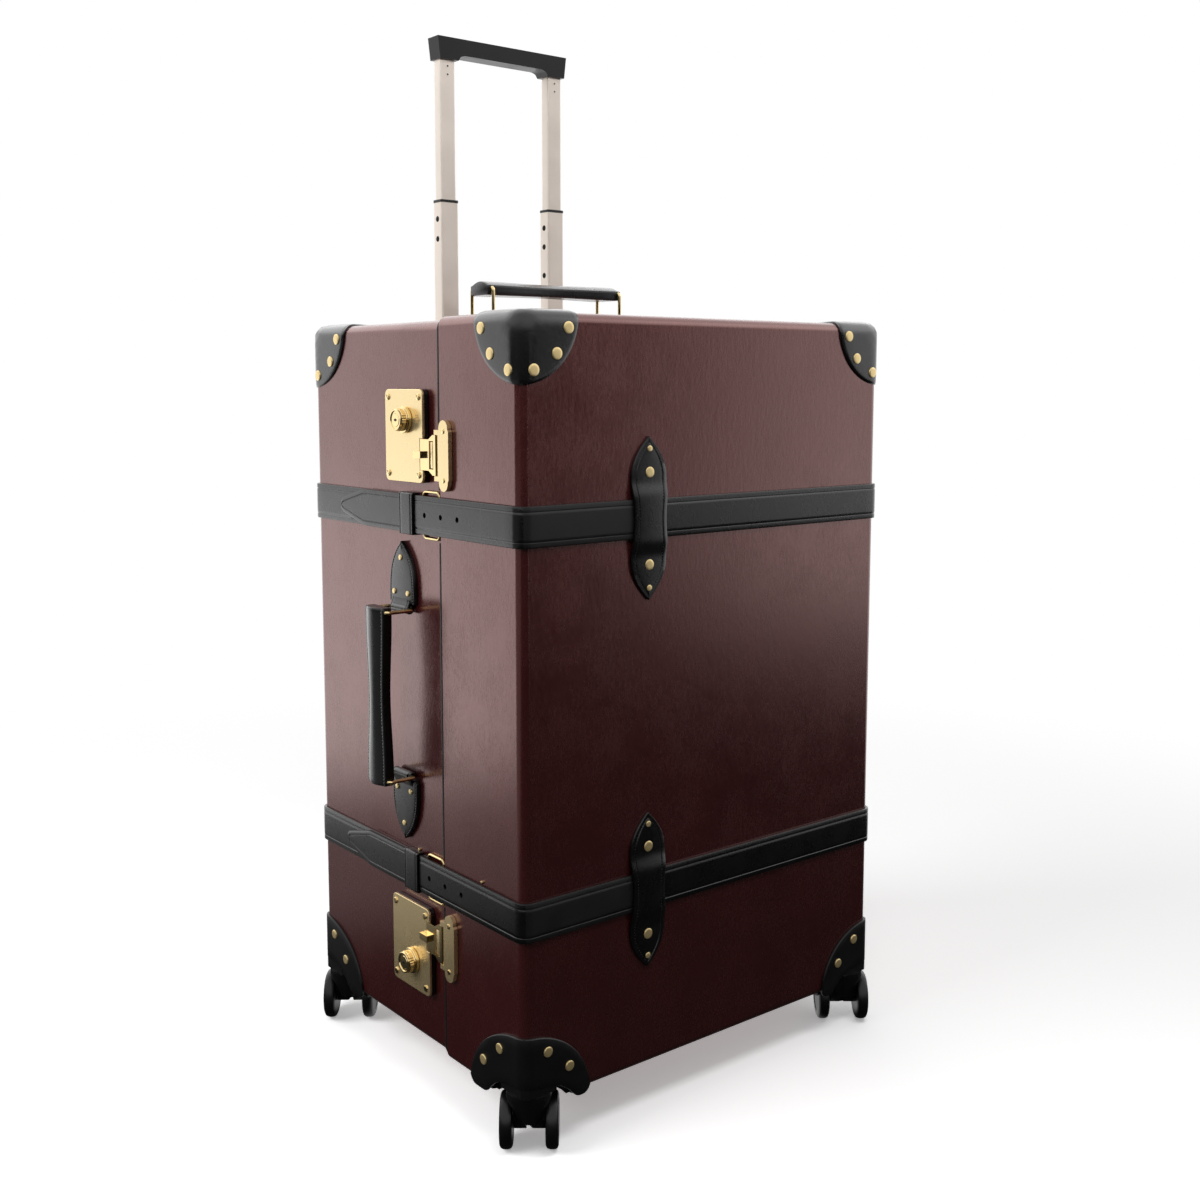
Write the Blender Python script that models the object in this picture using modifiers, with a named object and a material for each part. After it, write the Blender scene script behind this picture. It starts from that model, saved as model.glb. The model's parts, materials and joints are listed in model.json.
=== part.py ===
"""Luggage trunk: a fibreboard case on four twin-wheel casters, with a hinged lid,
two leather straps, two brass locks, two leather handles and a telescopic trolley.

Metres, +Z up. The origin is on the floor under the middle of the object. The lid is the
front (-Y), the locks are on the left (-X), the hinges on the right (+X).
"""
import math

import bmesh
import bpy
from mathutils import Matrix, Vector

# Clearances
GAP = 0.0003
SLIDE_GAP = 0.0005
SEAM_GAP = 0.0006

# Case
LID_WIDTH = 0.492
LID_HEIGHT = 0.760
LID_DEPTH = 0.137
BASE_DEPTH = 0.267
WALL = 0.004
EDGE_RADIUS = 0.010
EDGE_SEGMENTS = 4
RIM_THICK = 0.004
RIM_IN_BASE = 0.020
RIM_IN_LID = 0.010

# Leather straps
STRAP_THICK = 0.003
STRAP_WIDTH = 0.039
STRAP_BELOW_TOP = 0.197
STRAP_ABOVE_BOTTOM = 0.187
STRAP_ARC_STEPS = 5
TAIL_HINGE_BEFORE_SEAM = 0.014
TAIL_LENGTH = 0.213
TAIL_POINT = 0.050
TAIL_TIP_HALF = 0.006
TAIL_TIP_STEPS = 4
HOLE_RADIUS = 0.0028
HOLE_FIRST = 0.009
HOLE_PITCH = 0.030
LOOP_WIDTH = 0.026
LOOP_THICK = 0.002
LOOP_AT = 0.072
BUCKLE_LENGTH = 0.033
BUCKLE_MARGIN = 0.0055
BUCKLE_WIRE = 0.0015
BUCKLE_CORNER = 0.005
BUCKLE_FROM_SEAM = 0.002

# Strap keepers on the front
KEEPER_AT = 0.152
KEEPER_LENGTH = 0.161
KEEPER_WAIST = 0.0203
KEEPER_BULGE = 0.0228
KEEPER_THICK = 0.003
KEEPER_RAMP = 0.012

# Corner caps at the top
CAP_FRONT_REACH = 0.067
CAP_SIDE_REACH = 0.074
CAP_DROP = 0.067
LEATHER_THICK = 0.0025

# Foot brackets and casters
FOOT_FRONT_REACH = 0.078
FOOT_SIDE_REACH = 0.089
FOOT_RISE = 0.073
FOOT_ARCH_AT = 0.050
FOOT_ARCH_RADIUS = 0.012
SWIVEL_INSET = 0.019
SWIVEL_YAW = 38.7
CUP_RADIUS = 0.042
CUP_WALL = 0.0025
CUP_CEILING = 0.012
CUP_ROOF = 0.006
WHEEL_RADIUS = 0.0275
WHEEL_WIDTH = 0.0125
WHEEL_SPACE = 0.0325
WHEEL_RECESS = 0.002
WHEEL_CLEAR = 0.001
WHEEL_STEPS = 16
CASTER_TRAIL = 0.010
AXLE_RADIUS = 0.004
HUB_RADIUS = 0.0225
HUB_HEIGHT = 0.0072
HOOD_RADIUS = 0.0115
HOOD_HEIGHT = 0.026
STEM_RADIUS = 0.005
STEM_LENGTH = 0.004
FORK_TOP = 0.016
FORK_SLOT = 0.006
FORK_END = 0.0085

# Hinges
HINGE_INSET = 0.095
HINGE_LENGTH = 0.050
HINGE_LEAF = 0.022
HINGE_THICK = 0.0018
KNUCKLE_RADIUS = 0.0035
KNUCKLE_LENGTH = 0.019
PIN_RADIUS = 0.0015

# Locks
LOCK_FROM_SEAM = 0.061
LOCK_BELOW_TOP = 0.118
LOCK_ABOVE_BOTTOM = 0.106
LOCK_WIDTH = 0.073
LOCK_HEIGHT = 0.094
LOCK_THICK = 0.0075
LOCK_CORNER = 0.006
DIAL_RADIUS = 0.0115
DIAL_COLLAR = 0.0135
DIAL_HEIGHT = 0.012
DIAL_DISH = 0.001
DIAL_COLLAR_HEIGHT = 0.004
DIAL_SPINDLE = 0.004
DIAL_SPINDLE_DEPTH = 0.004
DIAL_UP = 0.016
DIAL_FORWARD = 0.004
HASP_DOWN = 0.018
HASP_PLATE_WIDTH = 0.019
HASP_PLATE_LENGTH = 0.070
HASP_PLATE_THICK = 0.0046
HASP_PLATE_BEHIND = 0.004
HASP_PIN = 0.001
HASP_BARREL = 0.0022
HASP_BARREL_HALF = 0.020
HASP_TONGUE_HALF = 0.0155
HASP_TONGUE = 0.005
HASP_THICK = 0.0025
HASP_AXIS_PAST_SEAM = 0.001
HASP_EAR = 0.005
HASP_WINDOW = (0.0040, 0.0120, 0.0140)
TAB_SIZE = (0.014, 0.007, 0.0042)

# Handles
HANDLE_FROM_SEAM = 0.074
TOP_HANDLE_FROM_BACK = 0.1145
SIDE_LINK_SPAN = 0.176
TOP_LINK_SPAN = 0.182
SIDE_LINK_LENGTH = 0.030
TOP_LINK_LENGTH = 0.039
LINK_WIDTH = 0.0425
LINK_CORNER = 0.0025
LINK_WIRE = 0.002
CHAPE_LENGTH = 0.070
CHAPE_HALF = 0.0245
CHAPE_NECK = 0.0175
CHAPE_NECK_END = 0.004
CHAPE_SHOULDER = 0.006
CHAPE_THICK = 0.0055
LOOP_ROLL_RADIUS = 0.005
LOOP_ROLL_HALF = 0.0175
GRIP_WIDTH = 0.037
GRIP_WAIST = 0.030
GRIP_THICK = 0.016
GRIP_OVERHANG = 0.0045
GRIP_BEVEL = 0.005

# Trolley
TUBE_SPACING = 0.155
TUBE_FROM_BACK = 0.019
TUBE_WALL = 0.0012
OUTER_TUBE = (0.0235, 0.0175)
TUBE_CORNER = 0.002
COLLAR_ABOVE_TOP = 0.1455
COLLAR_HEIGHT = 0.003
COLLAR_LIP = 0.0004
GRIP_ABOVE_TOP = 0.308
TUBE_OVERLAP = 0.080
SLEEVE_WALL = 0.0015
SLEEVE_LENGTH = 0.250
BEZEL_LIP = 0.004
BEZEL_HEIGHT = 0.003
COVER_THICK = 0.003
COVER_CLEAR = 0.002
TROLLEY_FOOT_HEIGHT = 0.034
TROLLEY_FOOT_FLOOR = 0.010
TROLLEY_FOOT_SIDE = 0.016
TROLLEY_GRIP_LENGTH = 0.185
TROLLEY_GRIP_HEIGHT = 0.025
TROLLEY_GRIP_DEPTH = 0.022
TROLLEY_GRIP_ARCH = 0.0065
TROLLEY_GRIP_SOCKET = 0.012
TROLLEY_GRIP_SLOPE = 0.003
TROLLEY_GRIP_SHOULDER = 0.012
BUTTON_RADIUS = 0.0045
BUTTON_LENGTH = 0.010
BUTTON_PROUD = 0.0035

# Derived planes of the case
LID_STEP = STRAP_THICK + GAP
CASE_LIFT = 2 * WHEEL_RADIUS - WHEEL_RECESS
YAW = math.radians(SWIVEL_YAW)


def wheel_side():
    """Half the turned profile of a wheel pair, as radius and distance along the axle."""
    inner = WHEEL_SPACE / 2
    outer = inner + WHEEL_WIDTH
    dish = WHEEL_WIDTH / 4
    r = WHEEL_RADIUS
    return [
        (0.0, outer - dish),
        (0.60 * r, outer - dish),
        (0.68 * r, outer),
        (0.86 * r, outer),
        (r, outer - dish),
        (r, inner + dish),
        (0.86 * r, inner),
        (AXLE_RADIUS, inner),
    ]


def wheel_reach(along, across, trail):
    """How far a caster's wheels stand out past the face that its swivel axis is inset from."""
    edge = max(r * along + a * across for r, a in wheel_side())
    return trail * along + edge - SWIVEL_INSET


LOOP_AXIS = GAP + LOOP_ROLL_RADIUS
LEFT_REACH = LOOP_AXIS + SIDE_LINK_LENGTH + GRIP_THICK / 2 - LID_STEP
RIGHT_REACH = wheel_reach(math.sin(YAW), math.cos(YAW), CASTER_TRAIL)
KEEPER_REACH = 2 * GAP + STRAP_THICK + KEEPER_THICK
FRONT_REACH = max(KEEPER_REACH, wheel_reach(math.cos(YAW), math.sin(YAW), -CASTER_TRAIL))
BACK_REACH = wheel_reach(math.cos(YAW), math.sin(YAW), CASTER_TRAIL)
CASE_X = (LEFT_REACH - RIGHT_REACH) / 2
CASE_Y = (FRONT_REACH - BACK_REACH) / 2

LID_X0 = CASE_X - LID_WIDTH / 2
LID_X1 = CASE_X + LID_WIDTH / 2
BASE_X0 = LID_X0 + LID_STEP
BASE_X1 = LID_X1 - LID_STEP
FRONT_Y = CASE_Y - (LID_DEPTH + BASE_DEPTH) / 2
SEAM_Y = FRONT_Y + LID_DEPTH
BACK_Y = SEAM_Y + BASE_DEPTH
LID_Z0 = CASE_LIFT
LID_Z1 = CASE_LIFT + LID_HEIGHT
BASE_Z0 = LID_Z0 + LID_STEP
BASE_Z1 = LID_Z1 - LID_STEP
STRAP_HEIGHTS = {"upper": LID_Z1 - STRAP_BELOW_TOP, "lower": LID_Z0 + STRAP_ABOVE_BOTTOM}
HINGE_HEIGHTS = {"upper": LID_Z1 - HINGE_INSET, "lower": LID_Z0 + HINGE_INSET}
CEILING_Z = LID_Z0 + CUP_CEILING
CUP_TOP_Z = CEILING_Z + CUP_ROOF
SWIVEL_TOP_Z = CEILING_Z - GAP
TUBE_Y = BACK_Y - TUBE_FROM_BACK
COVER_BACK_Y = TUBE_Y - OUTER_TUBE[1] / 2 - SLIDE_GAP - SLEEVE_WALL - COVER_CLEAR
SLEEVE_IN = (OUTER_TUBE[0] + 2 * SLIDE_GAP, OUTER_TUBE[1] + 2 * SLIDE_GAP)
SLEEVE_OUT = (SLEEVE_IN[0] + 2 * SLEEVE_WALL, SLEEVE_IN[1] + 2 * SLEEVE_WALL)
OUTER_BORE = (OUTER_TUBE[0] - 2 * TUBE_WALL, OUTER_TUBE[1] - 2 * TUBE_WALL)
INNER_TUBE = (OUTER_BORE[0] - 2 * SLIDE_GAP, OUTER_BORE[1] - 2 * SLIDE_GAP)
INNER_BORE = (INNER_TUBE[0] - 2 * TUBE_WALL, INNER_TUBE[1] - 2 * TUBE_WALL)
HINGE_X = LID_X1 + GAP + KNUCKLE_RADIUS
HANDLE_Z = (STRAP_HEIGHTS["upper"] + STRAP_HEIGHTS["lower"]) / 2
LOCK_FACE = GAP + LOCK_THICK - LID_STEP

for old in list(bpy.data.objects):
    bpy.data.objects.remove(old, do_unlink=True)
TRUNK = bpy.data.collections.new("luggage_trunk")
bpy.context.scene.collection.children.link(TRUNK)


def material(name, colour, roughness, metallic=0.0):
    mat = bpy.data.materials.new(name)
    mat.use_nodes = True
    shader = mat.node_tree.nodes["Principled BSDF"]
    shader.inputs["Base Color"].default_value = (*colour, 1.0)
    shader.inputs["Roughness"].default_value = roughness
    shader.inputs["Metallic"].default_value = metallic
    return mat


FIBREBOARD = material("burgundy_fibreboard", (0.050, 0.012, 0.012), 0.30)
LEATHER = material("black_leather", (0.012, 0.012, 0.013), 0.42)
BRASS = material("polished_brass", (0.80, 0.58, 0.25), 0.18, 1.0)
CHAMPAGNE = material("champagne_aluminium", (0.62, 0.53, 0.46), 0.32, 1.0)
PLASTIC = material("black_plastic", (0.016, 0.016, 0.017), 0.45)
TYRE = material("wheel_rubber", (0.014, 0.014, 0.015), 0.55)
LINING = material("black_lining_board", (0.020, 0.018, 0.018), 0.80)


def add_object(name, mesh, mat=None, smooth=True):
    obj = bpy.data.objects.new(name, mesh)
    TRUNK.objects.link(obj)
    if mat is not None and not mesh.materials:
        mesh.materials.append(mat)
    if smooth:
        mesh.shade_smooth()
        mesh.set_sharp_from_angle(angle=math.radians(32))
    return obj


def mesh_of(bm, name):
    mesh = bpy.data.meshes.new(name)
    bmesh.ops.recalc_face_normals(bm, faces=bm.faces)
    bm.to_mesh(mesh)
    bm.free()
    return mesh


def bake(obj):
    """Replace an object's mesh by what its modifiers make of it."""
    graph = bpy.context.evaluated_depsgraph_get()
    mesh = bpy.data.meshes.new_from_object(obj.evaluated_get(graph))
    obj.modifiers.clear()
    obj.data = mesh
    return obj


def combine(obj, tool, operation):
    """Boolean with a tool that is used up."""
    step = obj.modifiers.new(operation.lower(), "BOOLEAN")
    step.operation = operation
    step.object = tool
    bake(obj)
    bpy.data.objects.remove(tool, do_unlink=True)
    return obj


def cut(obj, tool):
    return combine(obj, tool, "DIFFERENCE")


def join(obj, tool):
    return combine(obj, tool, "UNION")


def keep(obj, tool):
    return combine(obj, tool, "INTERSECT")


def finish(obj, mat, origin=(0, 0, 0)):
    """Give a made piece its material and smooth shading, with its own origin at a point."""
    mesh = obj.data
    mesh.materials.clear()
    mesh.materials.append(mat)
    mesh.shade_smooth()
    mesh.set_sharp_from_angle(angle=math.radians(32))
    shift = Vector(origin)
    mesh.transform(Matrix.Translation(-shift) @ obj.matrix_world)
    obj.matrix_world = Matrix.Translation(shift)
    return obj


def box(name, low, high):
    bm = bmesh.new()
    low = Vector(low)
    high = Vector(high)
    middle = Matrix.Translation((low + high) / 2)
    bmesh.ops.create_cube(bm, size=1.0, matrix=middle @ Matrix.Diagonal((*(high - low), 1.0)))
    return add_object(name, mesh_of(bm, name), smooth=False)


def rod(name, start, end, radius, sides=12):
    """A cylinder between two points."""
    bm = bmesh.new()
    start = Vector(start)
    end = Vector(end)
    turn = Vector((0, 0, 1)).rotation_difference(end - start).to_matrix().to_4x4()
    place = Matrix.Translation((start + end) / 2) @ turn
    bmesh.ops.create_cone(bm, cap_ends=True, segments=sides, radius1=radius, radius2=radius,
                          depth=(end - start).length, matrix=place)
    return add_object(name, mesh_of(bm, name), smooth=False)


def ellipsoid(name, centre, radii, sides=24):
    bm = bmesh.new()
    place = Matrix.Translation(centre) @ Matrix.Diagonal((*radii, 1.0))
    bmesh.ops.create_uvsphere(bm, u_segments=sides, v_segments=sides // 2, radius=1.0, matrix=place)
    return add_object(name, mesh_of(bm, name), smooth=False)


def arc(centre, radius, start, end, steps):
    """Points on an arc, angles in degrees."""
    points = []
    for i in range(steps + 1):
        angle = math.radians(start + (end - start) * i / steps)
        points.append((centre[0] + radius * math.cos(angle), centre[1] + radius * math.sin(angle)))
    return points


def rounded_rectangle(width, height, radius, steps=3):
    points = []
    for turn, (sx, sy) in enumerate(((1, 1), (-1, 1), (-1, -1), (1, -1))):
        centre = (sx * (width / 2 - radius), sy * (height / 2 - radius))
        points += arc(centre, radius, 90 * turn, 90 * turn + 90, steps)
    return points


def frame_at(origin, u, v, w):
    """A place whose outline axes are u and v, with the thickness along w."""
    columns = Matrix((u, v, w)).transposed().to_4x4()
    return Matrix.Translation(origin) @ columns


def slab(name, outlines, frame, low, high):
    """A flat outline, with any holes, given its thickness from low to high."""
    curve = bpy.data.curves.new(name, "CURVE")
    curve.dimensions = "2D"
    curve.fill_mode = "BOTH"
    curve.extrude = (high - low) / 2
    for outline in outlines:
        spline = curve.splines.new("POLY")
        spline.points.add(len(outline) - 1)
        for point, (x, y) in zip(spline.points, outline):
            point.co = (x, y, 0.0, 1.0)
        spline.use_cyclic_u = True
    place = frame @ Matrix.Translation((0, 0, (low + high) / 2))
    return curve_to_mesh(name, curve, place)


def wire_ring(name, outline, frame, radius):
    """A closed loop of round wire along an outline."""
    curve = bpy.data.curves.new(name, "CURVE")
    curve.dimensions = "3D"
    curve.bevel_depth = radius
    curve.bevel_resolution = 1
    spline = curve.splines.new("POLY")
    spline.points.add(len(outline) - 1)
    for point, (x, y) in zip(spline.points, outline):
        point.co = (x, y, 0.0, 1.0)
    spline.use_cyclic_u = True
    return curve_to_mesh(name, curve, frame)


def curve_to_mesh(name, curve, place):
    guide = bpy.data.objects.new(name + "_guide", curve)
    TRUNK.objects.link(guide)
    graph = bpy.context.evaluated_depsgraph_get()
    mesh = bpy.data.meshes.new_from_object(guide.evaluated_get(graph))
    bpy.data.objects.remove(guide, do_unlink=True)
    bm = bmesh.new()
    bm.from_mesh(mesh)
    bmesh.ops.remove_doubles(bm, verts=bm.verts, dist=0.000001)
    bmesh.ops.transform(bm, matrix=place, verts=bm.verts)
    return add_object(name, mesh_of(bm, name), smooth=False)


def turned(name, profile, steps, place):
    """A profile of (radius, height), top to bottom, turned about its own Z axis."""
    bm = bmesh.new()
    verts = [bm.verts.new((r, 0.0, z)) for r, z in profile]
    for a, b in zip(verts, verts[1:]):
        bm.edges.new((a, b))
    mesh = bpy.data.meshes.new(name)
    bm.to_mesh(mesh)
    bm.free()
    obj = add_object(name, mesh, smooth=False)
    screw = obj.modifiers.new("turn", "SCREW")
    screw.steps = steps
    screw.render_steps = steps
    screw.use_merge_vertices = True
    screw.merge_threshold = 0.00001
    bake(obj)
    obj.data.transform(place)
    return obj


def open_corner(name, low, high, faces_kept, radius):
    """Some faces of a box, with the edges between them rounded, as an open surface."""
    bm = bmesh.new()
    low = Vector(low)
    high = Vector(high)
    place = Matrix.Translation((low + high) / 2) @ Matrix.Diagonal((*(high - low), 1.0))
    bmesh.ops.create_cube(bm, size=1.0, matrix=place)
    spare = []
    for face in bm.faces:
        if not any(face.normal.dot(Vector(side)) > 0.9 for side in faces_kept):
            spare.append(face)
    bmesh.ops.delete(bm, geom=spare, context="FACES")
    edges = [edge for edge in bm.edges if not edge.is_boundary]
    bmesh.ops.bevel(bm, geom=edges, offset=radius, offset_type="OFFSET", segments=EDGE_SEGMENTS,
                    profile=0.5, affect="EDGES")
    mesh = bpy.data.meshes.new(name)
    bm.to_mesh(mesh)
    bm.free()
    return add_object(name, mesh, smooth=False)


def thicken(obj, thickness, side):
    """Solidify an open surface, inwards with side -1 and outwards with side 1."""
    wall = obj.modifiers.new("wall", "SOLIDIFY")
    wall.thickness = thickness
    wall.offset = side
    wall.use_even_offset = True
    wall.use_rim = True
    return bake(obj)


LEFT, RIGHT, FRONT, BACK = (-1, 0, 0), (1, 0, 0), (0, -1, 0), (0, 1, 0)
UP, DOWN = (0, 0, 1), (0, 0, -1)


def on_left(y, z, face_x):
    """Outline axes +Y and +Z, thickness outwards from a left-hand face."""
    return frame_at((face_x, y, z), BACK, UP, LEFT)


def corners(depth_y):
    """The left and right corner points in plan of the lid or the base."""
    if depth_y == FRONT_Y:
        return {"left": (LID_X0, FRONT_Y, 0), "right": (LID_X1, FRONT_Y, 90)}
    return {"right": (BASE_X1, BACK_Y, 180), "left": (BASE_X0, BACK_Y, 270)}


def swivel_points():
    """Each caster's name and the place of its swivel axis in plan."""
    inset = SWIVEL_INSET
    return {
        "front_left": (LID_X0 + inset, FRONT_Y + inset),
        "front_right": (LID_X1 - inset, FRONT_Y + inset),
        "back_left": (BASE_X0 + inset, BACK_Y - inset),
        "back_right": (BASE_X1 - inset, BACK_Y - inset),
    }


def tube_points():
    return {"left": CASE_X - TUBE_SPACING / 2, "right": CASE_X + TUBE_SPACING / 2}


def notch(obj, point):
    """Cut the corner of a shell away over a caster."""
    low = Vector((*point, 0.0))
    high = Vector((*point, CUP_TOP_Z + GAP))
    return cut(obj, rod("notch", low, high, CUP_RADIUS + GAP, 24))


def make_shells():
    low = (LID_X0, FRONT_Y, LID_Z0)
    high = (LID_X1, SEAM_Y - SEAM_GAP / 2, LID_Z1)
    lid = open_corner("lid_shell", low, high, (LEFT, RIGHT, FRONT, UP, DOWN), EDGE_RADIUS)
    thicken(lid, WALL, -1)
    low = (BASE_X0, SEAM_Y + SEAM_GAP / 2, BASE_Z0)
    high = (BASE_X1, BACK_Y, BASE_Z1)
    base = open_corner("base_shell", low, high, (LEFT, RIGHT, BACK, UP, DOWN), EDGE_RADIUS)
    thicken(base, WALL, -1)
    for name, point in swivel_points().items():
        notch(lid if name.startswith("front") else base, point)
    for x in tube_points().values():
        cut(base, bar("tube_hole", x, widened(SLEEVE_OUT, GAP), BASE_Z1 - 2 * WALL, BASE_Z1 + WALL))
    finish(lid, FIBREBOARD, (HINGE_X, SEAM_Y, LID_Z0))
    finish(base, FIBREBOARD)


def across_base(y, inset=0.0):
    """The outline of what fills the base from side to side at a depth, and its place."""
    margin = 2 * (WALL + GAP + inset)
    outline = rounded_rectangle(BASE_X1 - BASE_X0 - margin, BASE_Z1 - BASE_Z0 - margin, EDGE_RADIUS - WALL)
    return outline, frame_at((CASE_X, y, (BASE_Z0 + BASE_Z1) / 2), RIGHT, UP, BACK)


def make_rim():
    """The stiff lip inside the base that the lid closes over."""
    outer, place = across_base(SEAM_Y)
    inner, place = across_base(SEAM_Y, RIM_THICK)
    rim = slab("base_rim", [outer], place, -RIM_IN_LID, RIM_IN_BASE)
    cut(rim, slab("rim_space", [inner], place, -2 * RIM_IN_LID, 2 * RIM_IN_BASE))
    for name, point in swivel_points().items():
        notch(rim, point)
    finish(rim, LINING)


def cap_mesh(reach_x, reach_y):
    """A leather corner cap, with the case corner at its origin and the case at +X, +Y and -Z."""
    far = 2 * CAP_SIDE_REACH
    low = (-GAP, -GAP, -far)
    high = (far, far, GAP)
    cap = open_corner("cap", low, high, (LEFT, FRONT, UP), EDGE_RADIUS + GAP)
    thicken(cap, LEATHER_THICK, 1)
    keep(cap, ellipsoid("cap_outline", (0, 0, 0), (reach_x, reach_y, CAP_DROP)))
    finish(cap, LEATHER)
    mesh = cap.data
    bpy.data.objects.remove(cap, do_unlink=True)
    return mesh


def foot_mesh(shell_bottom, reach_x, reach_y):
    """A foot bracket with its caster cup, with the case corner at its origin."""
    far = 2 * FOOT_SIDE_REACH
    low = (-GAP, -GAP, -GAP)
    foot = open_corner("foot", low, (far, far, far), (LEFT, FRONT, DOWN), EDGE_RADIUS + GAP)
    thicken(foot, LEATHER_THICK, 1)
    keep(foot, ellipsoid("foot_outline", (0, 0, 0), (reach_x, reach_y, FOOT_RISE)))
    axis = Vector((SWIVEL_INSET, SWIVEL_INSET, 0))
    top = Vector((0, 0, CUP_TOP_Z - shell_bottom))
    ceiling = Vector((0, 0, CEILING_Z - shell_bottom))
    under = Vector((0, 0, -far))
    cup = rod("cup", axis, axis + top, CUP_RADIUS, 24)
    skin = GAP + LEATHER_THICK / 2
    cup_low = (-skin, -skin, -skin)
    keep(cup, solid_corner("cup_trim", cup_low, (far, far, far), EDGE_RADIUS + skin))
    join(foot, cup)
    cut(foot, rod("cup_space", axis + under, axis + ceiling, CUP_RADIUS - CUP_WALL, 24))
    bore_top = ceiling + Vector((0, 0, STEM_LENGTH))
    cut(foot, rod("stem_bore", axis, axis + bore_top, STEM_RADIUS + GAP))
    for along in (Vector((1, 0, 0)), Vector((0, 1, 0))):
        across = Vector((along.y, along.x, 0))
        arch = along * FOOT_ARCH_AT
        cut(foot, rod("arch", arch - across * EDGE_RADIUS, arch + across * EDGE_RADIUS,
                      FOOT_ARCH_RADIUS))
    finish(foot, PLASTIC)
    mesh = foot.data
    bpy.data.objects.remove(foot, do_unlink=True)
    return mesh


def solid_corner(name, low, high, radius):
    """A closed box with all its edges rounded."""
    bm = bmesh.new()
    low = Vector(low)
    high = Vector(high)
    place = Matrix.Translation((low + high) / 2) @ Matrix.Diagonal((*(high - low), 1.0))
    bmesh.ops.create_cube(bm, size=1.0, matrix=place)
    bmesh.ops.bevel(bm, geom=list(bm.edges), offset=radius, offset_type="OFFSET",
                    segments=EDGE_SEGMENTS, profile=0.5, affect="EDGES")
    return add_object(name, mesh_of(bm, name), smooth=False)


def place_copy(name, mesh, x, y, z, turn):
    obj = add_object(name, mesh)
    obj.matrix_world = Matrix.Translation((x, y, z)) @ Matrix.Rotation(math.radians(turn), 4, "Z")
    return obj


def make_corners():
    """Four caps on top and four feet below, each with its longer wing on the side of the case."""
    for end, y_face, low, high in (("front_", FRONT_Y, LID_Z0, LID_Z1), ("back_", BACK_Y, BASE_Z0, BASE_Z1)):
        for side, (x, y, turn) in corners(y_face).items():
            cap = cap_mesh(*wings(turn, CAP_FRONT_REACH, CAP_SIDE_REACH))
            place_copy("cap_" + end + side, cap, x, y, high, turn)
            foot = foot_mesh(low, *wings(turn, FOOT_FRONT_REACH, FOOT_SIDE_REACH))
            place_copy("foot_" + end + side, foot, x, y, low, turn)


def wings(turn, front, side):
    """The reach of a corner piece along its own X and Y at a quarter turn."""
    if turn % 180:
        return side, front
    return front, side


def fork_mesh():
    """A caster's swivel: stem, hooded hub and the fork, about the swivel axis at the floor."""
    hub_low = SWIVEL_TOP_Z - HUB_HEIGHT
    half = WHEEL_SPACE / 2 - GAP
    trail = CASTER_TRAIL
    axle = (trail, WHEEL_RADIUS)
    outline = [(FORK_TOP, hub_low + HUB_HEIGHT / 2), (-FORK_TOP, hub_low + HUB_HEIGHT / 2)]
    outline += arc(axle, FORK_END, 190, 350, 6)
    sideways = frame_at((0, 0, 0), (1, 0, 0), UP, (0, -1, 0))
    fork = slab("fork", [outline], sideways, -half, half)
    hood_low = hub_low - HOOD_HEIGHT
    hood = [(0.0, SWIVEL_TOP_Z), (HUB_RADIUS, SWIVEL_TOP_Z), (HUB_RADIUS, hub_low)]
    hood += [(HOOD_RADIUS, hood_low), (0.0, hood_low)]
    join(fork, turned("hub", hood, 16, Matrix.Identity(4)))
    for side in (-1, 1):
        near = (trail, side * half, WHEEL_RADIUS)
        beyond = (trail, side * 2 * HUB_RADIUS, WHEEL_RADIUS)
        cut(fork, rod("wheel_space", near, beyond, WHEEL_RADIUS + WHEEL_CLEAR, 24))
    stem_top = CEILING_Z + STEM_LENGTH - GAP
    join(fork, rod("stem", (0, 0, hub_low + HUB_HEIGHT / 2), (0, 0, stem_top), STEM_RADIUS))
    cut(fork, rod("axle_bore", (trail, -WHEEL_SPACE, WHEEL_RADIUS), (trail, WHEEL_SPACE, WHEEL_RADIUS),
                  AXLE_RADIUS + GAP))
    slot_top = WHEEL_RADIUS - AXLE_RADIUS - GAP
    slot_low = (trail - 2 * FORK_TOP, -FORK_SLOT / 2, 0)
    cut(fork, box("tab_slot", slot_low, (trail + 2 * FORK_TOP, FORK_SLOT / 2, slot_top)))
    finish(fork, PLASTIC)
    mesh = fork.data
    bpy.data.objects.remove(fork, do_unlink=True)
    return mesh


def wheel_mesh():
    """Two wheels on one axle, turned about the axle, which lies along Y."""
    side = wheel_side()
    profile = side + [(radius, -height) for radius, height in reversed(side)]
    place = Matrix.Rotation(math.radians(90), 4, "X")
    wheels = turned("wheels", profile, WHEEL_STEPS, place)
    finish(wheels, TYRE)
    mesh = wheels.data
    bpy.data.objects.remove(wheels, do_unlink=True)
    return mesh


def make_casters():
    """All four casters stand turned the same way, the wheels trailing behind their axes."""
    forks = fork_mesh()
    wheels = wheel_mesh()
    heading = 90 - SWIVEL_YAW
    trail = Vector((math.sin(YAW), math.cos(YAW))) * CASTER_TRAIL
    for name, (x, y) in swivel_points().items():
        place_copy("fork_" + name, forks, x, y, 0, heading)
        place_copy("wheels_" + name, wheels, x + trail.x, y + trail.y, WHEEL_RADIUS, heading)


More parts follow.
